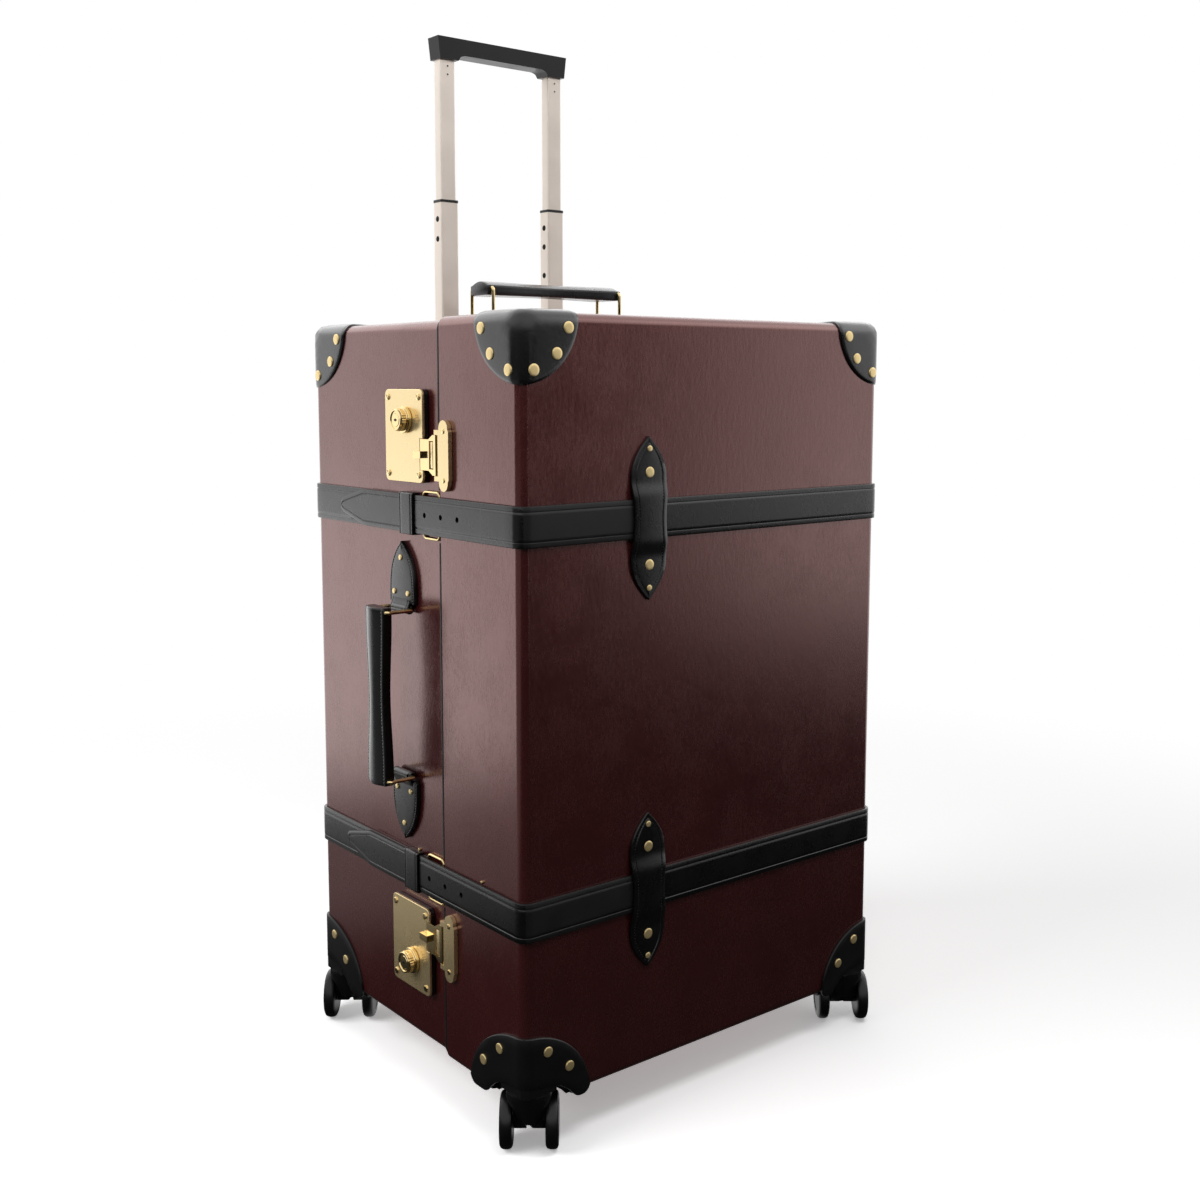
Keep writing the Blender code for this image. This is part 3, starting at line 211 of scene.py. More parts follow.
looking = add_node(tree, "ShaderNodeTexCoord").outputs["Generated"]
upwards = along_way(tree, looking, (0, 0, 1))
SWEEP_MIDDLE = (0.737, 0.676, 0)
sweep = graded(tree, along_way(tree, looking, SWEEP_MIDDLE), -0.09, 0.16, 0.0, 1.0)
overhead = graded(tree, upwards, 0.08, 0.32, 0.01, 1.0)
band_start = graded(tree, upwards, 0.22, 0.34, 0.0, 1.1)
band_end = graded(tree, upwards, 0.58, 0.74, 1.0, 0.0)
high_band = math_node(tree, "MULTIPLY", math_node(tree, "MULTIPLY", band_start, band_end), sweep)
overhead = math_node(tree, "ADD", overhead, high_band)
mirrored = add_node(tree, "ShaderNodeBackground")
backdrop = math_node(tree, "MULTIPLY", sweep, 1.3)
tree.links.new(math_node(tree, "MAXIMUM", backdrop, overhead), mirrored.inputs["Color"])
soft_light = add_node(tree, "ShaderNodeBackground")
tree.links.new(graded(tree, upwards, -0.1, 0.9, 0.04, 0.36), soft_light.inputs["Color"])
white = add_node(tree, "ShaderNodeBackground", {"Color": (1, 1, 1, 1), "Strength": 1.0})
rays, sharp = sharp_rays(tree)
unseen = choose(tree, sharp, soft_light, mirrored)
seen = choose(tree, rays.outputs["Is Camera Ray"], unseen, white)
tree.links.new(seen.outputs[0], add_node(tree, "ShaderNodeOutputWorld").inputs[0])
print("world nodes:", len(tree.nodes))

# %% [markdown]
# Three softboxes add shape to the even light: a large panel on the left, a smaller one over the
# front and a thin strip. Area lamps suit a product picture because their light falls off
# softly. Only the strip is mirrored, as a panel would leave a white square on the varnish.

# %% Lamps


def softbox(name, place, target, width, height, energy, mirrored=False):
    """A rectangular lamp that faces a point. Varnish and metal mirror it only where asked."""
    light = bpy.data.lights.new(name, "AREA")
    light.shape = "RECTANGLE"
    light.size = width
    light.size_y = height
    light.energy = energy
    lamp = bpy.data.objects.new(name, light)
    lamp.location = place
    lamp.rotation_euler = (Vector(target) - Vector(place)).to_track_quat("-Z", "Y").to_euler()
    lamp.visible_glossy = mirrored
    scene.collection.objects.link(lamp)
    return lamp


softbox("panel_left", (-2.0, 0.5, 1.6), (-0.25, 0.0, 0.6), 1.6, 1.4, 34)
softbox("panel_over_front", (-0.1, -0.8, 1.45), (0.0, -0.1, 0.95), 0.9, 0.4, 6.5)
softbox("strip_front", (0.55, -2.35, 0.75), (0.0, -0.2, 0.6), 0.06, 1.3, 0.5, True)
print("lamps:", len(bpy.data.lights))

# %% [markdown]
# The camera sees a white floor with the trunk's shadow, which fades to pure white further off.
# White all round would wash out the dark varnish, so varnish and metal see a carpet of light
# instead: bright where the sweep reaches the floor, dim beside the trunk, and lit under it, so
# that the low edges stand out. Other rays see plain grey.

# %% Floor
floor_mesh = bpy.data.meshes.new("studio_floor")
plane = bmesh.new()
bmesh.ops.create_grid(plane, x_segments=1, y_segments=1, size=9.0)
plane.to_mesh(floor_mesh)
plane.free()
floor = bpy.data.objects.new("studio_floor", floor_mesh)
scene.collection.objects.link(floor)
pale = bpy.data.materials.new("pale_floor")
pale.use_nodes = True
tree = pale.node_tree
tree.nodes.clear()
spot = add_node(tree, "ShaderNodeTexCoord").outputs["Object"]
distance = add_node(tree, "ShaderNodeVectorMath", operation="LENGTH")
tree.links.new(spot, distance.inputs[0])
rays, sharp = sharp_rays(tree)
dull = add_node(tree, "ShaderNodeBsdfDiffuse", {"Color": (0.25, 0.25, 0.25, 1)})
shaded = add_node(tree, "ShaderNodeBsdfDiffuse", {"Color": (1.9, 1.9, 1.9, 1)})
white = add_node(tree, "ShaderNodeEmission", {"Color": (1, 1, 1, 1), "Strength": 1.0})
carpet = add_node(tree, "ShaderNodeEmission")
from_edge = add_node(tree, "ShaderNodeVectorMath", operation="SUBTRACT")
from_edge.inputs[1].default_value = (LID_LOW.x, FRONT, 0)
tree.links.new(spot, from_edge.inputs[0])
heading = add_node(tree, "ShaderNodeVectorMath", operation="NORMALIZE")
tree.links.new(from_edge.outputs[0], heading.inputs[0])
in_sweep = graded(tree, along_way(tree, heading.outputs[0], SWEEP_MIDDLE), -0.09, 0.16, 0.0, 1.0)
back_left = graded(tree, along_way(tree, spot, (-0.51, 0.86, 0)), 0.90, 1.60, 0.0, 1.6)
far_right = graded(tree, along_way(tree, spot, (0.87, -0.50, 0)), 1.6, 4.8, 0.0, 1.25)
back_right = graded(tree, along_way(tree, spot, (0.64, 0.77, 0)), 0.30, 0.80, 0.0, 1.2)
open_floor = math_node(tree, "MAXIMUM", back_left, math_node(tree, "MAXIMUM", far_right, back_right))
open_floor = math_node(tree, "MULTIPLY", open_floor, in_sweep)
UNDER_FROM, UNDER_TO = 0.020, 0.050
near_left = graded(tree, along_way(tree, spot, (-0.51, 0.86, 0)), 0.40, 0.72, 0.02, 0.24)
past_left = graded(tree, along_way(tree, spot, X), LID_LOW.x + UNDER_FROM, LID_LOW.x + UNDER_TO, 0.0, 1.0)
past_front = graded(tree, along_way(tree, spot, Y), FRONT + UNDER_FROM, FRONT + UNDER_TO, 0.0, 1.0)
beneath = math_node(tree, "MULTIPLY", math_node(tree, "MULTIPLY", past_left, past_front), 0.7)
near = math_node(tree, "MAXIMUM", near_left, beneath)
tree.links.new(math_node(tree, "MAXIMUM", open_floor, near), carpet.inputs["Color"])
viewed = choose(tree, graded(tree, distance.outputs["Value"], 0.6, 1.9, 0.30, 1.0), shaded, white)
unseen = choose(tree, sharp, dull, carpet)
seen = choose(tree, rays.outputs["Is Camera Ray"], unseen, viewed)
tree.links.new(seen.outputs[0], add_node(tree, "ShaderNodeOutputMaterial").inputs[0])
floor_mesh.materials.append(pale)
print("floor:", floor.name)

# %% [markdown]
# Three effects return in several finishes, so each is a node group built once. The board and
# the varnish show long fibres, the leather shows pores, and everything that hands touch shows
# smudges and fine scratches. A painted picture could hold these, but noise keeps its sharpness
# at any distance and needs no unwrapping.

# %% Shared node groups


def start_group(name, inputs, outputs):
    """An empty shader group with number sockets."""
    group = bpy.data.node_groups.new(name, "ShaderNodeTree")
    for label, value in inputs.items():
        socket = group.interface.new_socket(label, in_out="INPUT", socket_type="NodeSocketFloat")
        socket.default_value = value
    for label in outputs:
        group.interface.new_socket(label, in_out="OUTPUT", socket_type="NodeSocketFloat")
    return group, group.nodes.new("NodeGroupInput"), group.nodes.new("NodeGroupOutput")


def stretched(group, scale):
    """Object coordinates stretched by a factor along each axis."""
    place = add_node(group, "ShaderNodeTexCoord")
    stretch = add_node(group, "ShaderNodeVectorMath", operation="MULTIPLY")
    stretch.inputs[1].default_value = scale
    group.links.new(place.outputs["Object"], stretch.inputs[0])
    return stretch.outputs[0]


def noise(group, vector, scale, detail=3.0, rough=0.55):
    texture = add_node(group, "ShaderNodeTexNoise", {"Scale": scale, "Detail": detail, "Roughness": rough})
    group.links.new(vector, texture.inputs["Vector"])
    return texture.outputs["Fac"]


FIBRES, source, sink = start_group("fibres", {"Depth": 1.0}, ("Height", "Streak", "Cloud"))
upright = stretched(FIBRES, (1.0, 1.0, 0.38))
lying = stretched(FIBRES, (0.38, 1.0, 1.0))
facing = add_node(FIBRES, "ShaderNodeSeparateXYZ")
FIBRES.links.new(add_node(FIBRES, "ShaderNodeTexCoord").outputs["Normal"], facing.inputs[0])
flat = math_node(FIBRES, "GREATER_THAN", math_node(FIBRES, "ABSOLUTE", facing.outputs["Z"]), 0.7)
way = add_node(FIBRES, "ShaderNodeMix", data_type="VECTOR")
FIBRES.links.new(flat, way.inputs[0])
FIBRES.links.new(upright, way.inputs[4])
FIBRES.links.new(lying, way.inputs[5])
fine = noise(FIBRES, way.outputs[1], 560.0, 2.0, 0.5)
broad = noise(FIBRES, way.outputs[1], 190.0, 2.0, 0.5)
FIBRES.links.new(fine, sink.inputs["Streak"])
raised = math_node(FIBRES, "ADD", math_node(FIBRES, "MULTIPLY", fine, 0.6),
                   math_node(FIBRES, "MULTIPLY", broad, 0.8))
FIBRES.links.new(math_node(FIBRES, "MULTIPLY", raised, source.outputs["Depth"]), sink.inputs["Height"])
FIBRES.links.new(noise(FIBRES, stretched(FIBRES, (1, 1, 1)), 14.0, 3.0), sink.inputs["Cloud"])

HIDE, source, sink = start_group("hide", {"Depth": 1.0}, ("Height", "Tone"))
plain = stretched(HIDE, (1, 1, 1))
pores = add_node(HIDE, "ShaderNodeTexVoronoi", {"Scale": 1150.0, "Randomness": 0.9})
HIDE.links.new(plain, pores.inputs["Vector"])
creases = noise(HIDE, plain, 420.0, 4.0, 0.6)
grain = math_node(HIDE, "ADD", math_node(HIDE, "MULTIPLY", pores.outputs["Distance"], 0.7), creases)
HIDE.links.new(math_node(HIDE, "MULTIPLY", grain, source.outputs["Depth"]), sink.inputs["Height"])
HIDE.links.new(noise(HIDE, plain, 38.0, 4.0), sink.inputs["Tone"])

HANDLING, source, sink = start_group("handling", {"Amount": 1.0}, ("Smudge", "Scratch"))
plain = stretched(HANDLING, (1, 1, 1))
smear = math_node(HANDLING, "MULTIPLY", noise(HANDLING, plain, 22.0, 5.0, 0.6), source.outputs["Amount"])
HANDLING.links.new(smear, sink.inputs["Smudge"])
hairs = noise(HANDLING, stretched(HANDLING, (1.0, 0.05, 0.6)), 1600.0, 2.0)
HANDLING.links.new(math_node(HANDLING, "MULTIPLY", hairs, source.outputs["Amount"]), sink.inputs["Scratch"])
print("groups:", [group.name for group in bpy.data.node_groups])

# %% [markdown]
# The case is vulcanised fibreboard: many paper layers, dyed burgundy, pressed and varnished.
# Its faces are not flat like plastic. Long fibres make fine upright streaks that break up the
# light, so they go into the bump and the roughness. Inside, the same board has a black lining,
# chosen by how deep a point lies in the box.

# %% Finishes


def finish_of(name, colour, roughness, metallic=0.0):
    """A material with its Principled shader, ready for more nodes."""
    material = bpy.data.materials.new(name)
    material.use_nodes = True
    shader = material.node_tree.nodes["Principled BSDF"]
    shader.inputs["Base Color"].default_value = (*colour, 1)
    shader.inputs["Roughness"].default_value = roughness
    shader.inputs["Metallic"].default_value = metallic
    return material, material.node_tree, shader


def place_group(tree, group, **values):
    node = add_node(tree, "ShaderNodeGroup", node_tree=group)
    for label, value in values.items():
        node.inputs[label].default_value = value
    return node


def spread(tree, value, low, high):
    """Turn a mask around one half into a range of values."""
    span = add_node(tree, "ShaderNodeMapRange",
                    {"From Min": 0.3, "From Max": 0.7, "To Min": low, "To Max": high})
    tree.links.new(value, span.inputs["Value"])
    return span.outputs[0]


def two_tones(tree, mask, dark, light):
    mix = add_node(tree, "ShaderNodeMix", data_type="RGBA")
    mix.inputs[6].default_value = (*dark, 1)
    mix.inputs[7].default_value = (*light, 1)
    tree.links.new(mask, mix.inputs[0])
    return mix.outputs[2]


def bump(tree, shader, height, distance, strength=1.0):
    node = add_node(tree, "ShaderNodeBump", {"Strength": strength, "Distance": distance})
    tree.links.new(height, node.inputs["Height"])
    tree.links.new(node.outputs[0], shader.inputs["Normal"])
    if shader.inputs["Coat Weight"].default_value:
        tree.links.new(node.outputs[0], shader.inputs["Coat Normal"])


def object_axes(tree):
    """The X, Y and Z of a point in object coordinates, as separate values."""
    place = add_node(tree, "ShaderNodeTexCoord")
    part = add_node(tree, "ShaderNodeSeparateXYZ")
    tree.links.new(place.outputs["Object"], part.inputs[0])
    return part.outputs


def painted_over(tree, mask, colour, paint):
    """A linked colour, with one plain paint over it where the mask is one."""
    mix = add_node(tree, "ShaderNodeMix", data_type="RGBA")
    tree.links.new(mask, mix.inputs[0])
    tree.links.new(colour, mix.inputs[6])
    mix.inputs[7].default_value = (*paint, 1)
    return mix.outputs[2]


def depth_in(tree, low, high, open_side):
    """How deep a point lies inside a box, leaving its open side out."""
    part = object_axes(tree)
    deepest = None
    for at, axis in enumerate("XYZ"):
        near = math_node(tree, "SUBTRACT", part[axis], low[at])
        far = math_node(tree, "SUBTRACT", high[at], part[axis])
        for side in (near, far):
            if axis == "Y" and side is (far if open_side == "far" else near):
                continue
            deepest = side if deepest is None else math_node(tree, "MINIMUM", deepest, side)
    return deepest


DARK_DYE, LIGHT_DYE = (0.041, 0.0060, 0.0064), (0.051, 0.0080, 0.0084)
BLACK_LINING = (0.014, 0.012, 0.012)
LINED_FROM = 0.0035


def make_fibreboard(name, low, high, open_side):
    """Dyed and varnished board outside, black lining inside."""
    material, tree, shader = finish_of(name, LIGHT_DYE, 0.34)
    shader.inputs["IOR"].default_value = 1.7
    shader.inputs["Specular IOR Level"].default_value = 1.0
    shader.inputs["Specular Tint"].default_value = (1.0, 0.58, 0.54, 1)
    shader.inputs["Coat Weight"].default_value = 0.20
    shader.inputs["Coat Roughness"].default_value = 0.13
    shader.inputs["Coat IOR"].default_value = 1.55
    fibres = place_group(tree, FIBRES)
    marks = place_group(tree, HANDLING)
    dye = two_tones(tree, spread(tree, fibres.outputs["Cloud"], 0.0, 1.0), DARK_DYE, LIGHT_DYE)
    lined = math_node(tree, "GREATER_THAN", depth_in(tree, low, high, open_side), LINED_FROM)
    tree.links.new(painted_over(tree, lined, dye, BLACK_LINING), shader.inputs["Base Color"])
    sheen = math_node(tree, "ADD", spread(tree, fibres.outputs["Streak"], 0.20, 0.27),
                      spread(tree, marks.outputs["Smudge"], -0.02, 0.06))
    rough = math_node(tree, "MAXIMUM", sheen, math_node(tree, "MULTIPLY", lined, 0.85))
    tree.links.new(rough, shader.inputs["Roughness"])
    bump(tree, shader, fibres.outputs["Height"], 0.0003, 0.22)
    return material


LID_BOARD = make_fibreboard("burgundy_fibreboard_lid", LID_LOW, LID_HIGH, "far")
BASE_BOARD = make_fibreboard("burgundy_fibreboard_base", BASE_LOW, BASE_HIGH, "near")
print("boards:", LID_BOARD.name, BASE_BOARD.name)

# %% [markdown]
# Leather shows pores and a little wax, brass shows smudges and hair scratches, and moulded
# plastic has a fine texture from its mould. Each finish is a function that places the groups
# with its own values. The last one turns metal black past an edge, as on a tube's collar, which
# saves a second piece.

# %% Leather, brass and the rest


def grey(level):
    return (level, level, level)


def make_leather(name, dark, light, smooth, coarse, depth, wax=0.0):
    material, tree, shader = finish_of(name, dark, smooth)
    shader.inputs["Coat Weight"].default_value = wax
    shader.inputs["Coat Roughness"].default_value = 0.20
    shader.inputs["Specular IOR Level"].default_value = 0.42
    hide = place_group(tree, HIDE)
    tree.links.new(two_tones(tree, hide.outputs["Tone"], dark, light), shader.inputs["Base Color"])
    tree.links.new(spread(tree, hide.outputs["Tone"], smooth, coarse), shader.inputs["Roughness"])
    bump(tree, shader, hide.outputs["Height"], depth, 0.5)
    return material


def make_brass(name, colour, low, high, metallic=1.0):
    """Brass or another metal with smudges and hair scratches."""
    material, tree, shader = finish_of(name, colour, low, metallic)
    marks = place_group(tree, HANDLING)
    worn = [0.90 * c for c in colour]
    tint = two_tones(tree, spread(tree, marks.outputs["Smudge"], 0.0, 1.0), worn, colour)
    tree.links.new(tint, shader.inputs["Base Color"])
    tree.links.new(spread(tree, marks.outputs["Smudge"], low, high), shader.inputs["Roughness"])
    bump(tree, shader, marks.outputs["Scratch"], 0.00001, 0.10)
    return material


def make_moulded(name, colour, low, high, grain=0.0001):
    """Plastic or rubber with a fine spark texture from its mould."""
    material, tree, shader = finish_of(name, colour, low)
    shader.inputs["Specular IOR Level"].default_value = 0.40
    marks = place_group(tree, HANDLING)
    hide = place_group(tree, HIDE, Depth=0.6)
    tint = two_tones(tree, marks.outputs["Smudge"], [0.8 * c for c in colour], [1.25 * c for c in colour])
    tree.links.new(tint, shader.inputs["Base Color"])
    tree.links.new(spread(tree, marks.outputs["Smudge"], low, high), shader.inputs["Roughness"])
    bump(tree, shader, hide.outputs["Height"], grain, 0.3)
    return material


def make_part_black(name, dark, light, rough, metallic, axis, edge, black, scratched):
    """A metal that turns plain black, and not metal, past an edge along an axis."""
    material, tree, shader = finish_of(name, light, rough[0], metallic)
    covered = math_node(tree, "GREATER_THAN", object_axes(tree)[axis], edge)
    marks = place_group(tree, HANDLING)
    metal = two_tones(tree, spread(tree, marks.outputs["Smudge"], 0.0, 1.0), dark, light)
    tree.links.new(painted_over(tree, covered, metal, grey(black)), shader.inputs["Base Color"])
    bare = math_node(tree, "SUBTRACT", 1.0, covered)
    tree.links.new(math_node(tree, "MULTIPLY", bare, metallic), shader.inputs["Metallic"])
    tree.links.new(spread(tree, marks.outputs["Smudge"], *rough), shader.inputs["Roughness"])
    if scratched:
        bump(tree, shader, marks.outputs["Scratch"], 0.00001, 0.10)
    return material


BLACK_HIDE = (0.003, 0.003, 0.0032), (0.0055, 0.0055, 0.0059)
BLACK_MOULDING = (0.006, 0.006, 0.0064)
LEATHER = make_leather("black_leather", *BLACK_HIDE, 0.24, 0.32, 0.0002, 0.3)
CAP_LEATHER = make_leather("black_cap_leather", *BLACK_HIDE, 0.17, 0.23, 0.0002, 0.5)
LEATHER_EDGE = make_leather("black_leather_edge", grey(0.004), grey(0.007), 0.45, 0.55, 0.0001)
BLACK_THREAD = make_leather("black_waxed_thread", grey(0.018), grey(0.030), 0.45, 0.60, 0.0001)
# A grey thread. Part of its paleness is a painted highlight, the glint that light from behind gives it.
THREAD = make_leather("grey_thread_painted_highlight", (0.20, 0.20, 0.19), (0.30, 0.30, 0.288), 0.45, 0.60, 0.0001)
BRASS = make_brass("polished_brass", (0.93, 0.72, 0.37), 0.10, 0.20)
PLATE_BRASS = make_brass("brushed_brass", (0.93, 0.73, 0.40), 0.20, 0.30, 0.80)
RIVET_BRASS = make_brass("rivet_brass", (0.96, 0.74, 0.36), 0.28, 0.40, 0.7)
TUBE = make_brass("champagne_aluminium", (0.93, 0.83, 0.74), 0.32, 0.42, 0.45)
PLASTIC = make_moulded("black_plastic", BLACK_MOULDING, 0.30, 0.42)
RUBBER = make_moulded("wheel_rubber", BLACK_MOULDING, 0.30, 0.42)
SEAL = make_moulded("black_seal", grey(0.005), 0.50, 0.62, 0.00005)
# Near black laid on holes, slots and keyways that are not cut: painted shade of their insides.
HOLE_SHADE = make_moulded("painted_hole_shade", grey(0.004), 0.7, 0.8)
LINING = make_leather("black_lining_cloth", BLACK_LINING, (0.024, 0.021, 0.021), 0.80, 0.92, 0.0004)
print("finishes:", len(bpy.data.materials))

# %% [markdown]
# Four small tools make nearly every piece. The first cleans a CAD solid: it welds the
# triangles, joins what is flat and rounds the edges, as a maker breaks every sharp edge. The
# second skins rings along a spine, which suits anything cut from a strip. The third turns a
# profile, as on a lathe. The fourth cuts one shape out of another.

# %% Tools for pieces


def add_piece(name, shape, material, body, stands_for=(), angle=38):
    """Put a mesh, or a bmesh that is done, into the scene as a piece that rides on a body."""
    mesh = to_mesh(shape, name) if isinstance(shape, bmesh.types.BMesh) else shape
    mesh.materials.clear()
    mesh.materials.append(material)
    mesh.shade_smooth()
    mesh.set_sharp_from_angle(angle=math.radians(angle))
    piece = bpy.data.objects.new(name, mesh)
    scene.collection.objects.link(piece)
    if body:
        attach(piece, body)
    if stands_for:
        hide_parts(*stands_for)
    return piece


def to_mesh(bm, name):
    bmesh.ops.remove_doubles(bm, verts=bm.verts, dist=1e-7)
    bmesh.ops.recalc_face_normals(bm, faces=bm.faces)
    mesh = bpy.data.meshes.new(name)
    bm.to_mesh(mesh)
    bm.free()
    return mesh


def body_of(node):
    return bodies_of(frame["nodes"][node])[0]


def softened(node, material, width=0.0, segments=2, angle=32):
    """A cleaned copy of a CAD solid with its edges broken."""
    bm = bmesh.new()
    bm.from_mesh(frame["nodes"][node].data)
    bmesh.ops.remove_doubles(bm, verts=bm.verts, dist=2e-6)
    bmesh.ops.dissolve_limit(bm, angle_limit=math.radians(0.5), verts=bm.verts, edges=bm.edges)
    piece = add_piece(node + "_finished", bm, material, body_of(node), (node,), angle)
    if width:
        rounding = piece.modifiers.new("rounding", "BEVEL")
        rounding.width = width
        rounding.segments = segments
        rounding.limit_method = "ANGLE"
        rounding.angle_limit = math.radians(angle)
    normals = piece.modifiers.new("normals", "WEIGHTED_NORMAL")
    normals.keep_sharp = not width
    return piece


def join_rings(bm, rings):
    """Faces between each ring of vertices and the next."""
    for a, b in zip(rings, rings[1:]):
        for k in range(len(a)):
            bm.faces.new((a[k - 1], a[k], b[k], b[k - 1]))


def skin(spine, across, section):
    """Rings along a spine of (point, outward) pairs. A section gives (across, outward) offsets."""
    bm = bmesh.new()
    rings = []
    for i, (point, out) in enumerate(spine):
        rings.append([bm.verts.new(point + across * w + out * h) for w, h in section(i)])
    join_rings(bm, rings)
    bm.faces.new(rings[0])
    bm.faces.new(rings[-1][::-1])
    return bm


def lathe(bm, profile, place, steps=32, ribs=0.0):
    """Turn (radius, height) pairs about the Z axis of a place. Ribs cut every other line back."""
    rings = []
    for radius, height in profile:
        ring = []
        for k in range(steps):
            turn = 2 * math.pi * k / steps
            r = radius - (ribs if k % 2 else 0.0)
            ring.append(bm.verts.new(place @ Vector((r * math.cos(turn), r * math.sin(turn), height))))
        rings.append(ring)
    join_rings(bm, rings)
    bm.faces.new(rings[0])
    bm.faces.new(rings[-1][::-1])


def cut_away(piece, bm):
    """Cut a made shape out of a piece's mesh, before its edges are rounded."""
    tool = bpy.data.objects.new("cutter", to_mesh(bm, "cutter"))
    scene.collection.objects.link(tool)
    cut = piece.modifiers.new("cut", "BOOLEAN")
    cut.operation = "DIFFERENCE"
    cut.object = tool
    piece.modifiers.move(len(piece.modifiers) - 1, 0)
    with bpy.context.temp_override(object=piece):
        bpy.ops.object.modifier_apply(modifier="cut")
    bpy.data.objects.remove(tool)


def cut_block(piece, middle, size, turn=Matrix()):
    """Cut a block out of a piece."""
    bm = bmesh.new()
    place = Matrix.Translation(middle) @ turn @ Matrix.Diagonal((*size, 1))
    bmesh.ops.create_cube(bm, size=1.0, matrix=place)
    cut_away(piece, bm)


def facing_place(point, normal):
    """A place at a point whose Z axis is a normal."""
    return Matrix.Translation(point) @ Z.rotation_difference(Vector(normal)).to_matrix().to_4x4()


def smooth_step(t):
    t = min(1.0, max(0.0, t))
    return t * t * (3 - 2 * t)


print("tools ready")

# %% [markdown]
# The shells keep the shape of their solids. A black rubber seal fills the step behind the
# lid: from the front it is the thin dark line that parts the lid from the base.

# %% Case shells and seal
softened("lid_shell", LID_BOARD)
softened("base_shell", BASE_BOARD)
softened("base_rim", LINING, 0.0008)
softened("trolley_cover", LINING, 0.0006)


def seal_turn(corner_z, start):
    """The seal round a rounded corner of the base, seen from the front."""
    turn_at = Vector((BASE_LOW.x + EDGE, 0, corner_z))
    run = []
    for k in range(9):
        angle = math.radians(start - 90 * k / 8)
        out = Vector((math.cos(angle), 0, math.sin(angle)))
        run.append((turn_at + out * EDGE, out))
    return run


def seal_section(i):
    low, high = SEAM + 0.0005, SEAM + 0.0056
    crown = [(low, 0.0), (low, 0.0026), (low + 0.0007, 0.0030), (low + 0.0020, 0.0030)]
    return crown + [(high - 0.0012, 0.0024), (high - 0.0004, 0.0016), (high, 0.0008), (high, 0.0)]


def left_at(z):
    return (Vector((BASE_LOW.x, 0, z)), -X)


STRAP_Z = {}
for side in ("upper", "lower"):
    low, high = corners("strap_lid_" + side)
    STRAP_Z[side] = (low.z + high.z) / 2
ROOM = 0.0265
bottom_run = [(Vector((BASE_HIGH.x - EDGE, 0, BASE_LOW.z)), -Z)] + seal_turn(BASE_LOW.z + EDGE, 270)
top_run = seal_turn(BASE_HIGH.z - EDGE, 180) + [(Vector((BASE_HIGH.x - EDGE, 0, BASE_HIGH.z)), Z)]
runs = {"low": bottom_run + [left_at(STRAP_Z["lower"] - ROOM)],
        "middle": [left_at(STRAP_Z["lower"] + ROOM), left_at(STRAP_Z["upper"] - ROOM)],
        "high": [left_at(STRAP_Z["upper"] + ROOM)] + top_run}
for name, run in runs.items():
    add_piece("seam_seal_" + name, skin(run, Y, seal_section), SEAL, "base")
print("seal runs:", len(runs))

# %% [markdown]
# A strap is a strip of bridle leather: rounded edges, and a line pressed along each side. It
# runs level round the case, so each ring of its skin stands upright on the path. One piece
# goes from the buckle round the back to the front keeper and bends at the hinge. The other
# goes from the keeper round the left corner and ends in the loose tail, which bends at the lid.

# %% Straps
STRAP_THICK = 0.003
HOLE_RADIUS, HOLE_PITCH = 0.0028, 0.030


def strip_section(half, thick, line=0.0055, press=0.00045):
    """The cut end of a leather strip: rounded edges and a pressed line along each side."""
    edge = [(0.0003, 0.0), (0.0, 0.3 * thick), (0.0, 0.70 * thick), (0.0003, 0.90 * thick), (0.0010, thick)]
    edge += [(line - 0.0007, thick), (line - 0.0002, thick - press), (line + 0.0002, thick - press)]
    edge += [(line + 0.0008, thick), (line + 0.0030, 1.02 * thick)]
    right = [(max(0.0, half - inset), height) for inset, height in edge]
    return right + [(0.0, 1.03 * thick)] + [(-w, h) for w, h in reversed(right)] + [(0.0, 0.0)]


def corner_run(centre, start, end, steps=10):
    """A rounded corner of the case, seen from above, as points and outward directions."""
    run = []
    for k in range(steps + 1):
        turn = math.radians(start + (end - start) * k / steps)
        out = Vector((math.cos(turn), math.sin(turn), 0))
        run.append((Vector((*centre, 0)) + out * (EDGE + GAP), out))
    return run


def straight_run(start, end, out, spacing=0.012):
    start, end = Vector((*start, 0)), Vector((*end, 0))
    count = max(1, round((end - start).length / spacing))
    return [(start.lerp(end, k / count), out) for k in range(1, count)]


def hinge_side_run():
    """Down the right side, climbing from the base to the lid just behind the seam."""
    run = []
    y = BACK - EDGE - 0.004
    while y > FRONT + EDGE + 0.002:
        climb = smooth_step((SEAM + 0.020 - y) / 0.017)
        x = BASE_HIGH.x + GAP + (LID_HIGH.x - BASE_HIGH.x) * climb
        run.append((Vector((x, y, 0)), X))
        y -= 0.0025 if abs(y - SEAM) < 0.03 else 0.010
    return run


def at_height(run, z):
    return [(Vector((point.x, point.y, z)), out) for point, out in run]


BASE_PATH = [(Vector((BASE_LOW.x - GAP, SEAM + 0.0355, 0)), -X)]
BASE_PATH += straight_run((BASE_LOW.x - GAP, SEAM + 0.0355), (BASE_LOW.x - GAP, BACK - EDGE), -X)
BASE_PATH += corner_run((BASE_LOW.x + EDGE, BACK - EDGE), 180, 90)
BASE_PATH += straight_run((BASE_LOW.x + EDGE, BACK + GAP), (BASE_HIGH.x - EDGE, BACK + GAP), Y)
BASE_PATH += corner_run((BASE_HIGH.x - EDGE, BACK - EDGE), 90, 0)
BASE_PATH += hinge_side_run()
BASE_PATH += corner_run((LID_HIGH.x - EDGE, FRONT + EDGE), 0, -90)


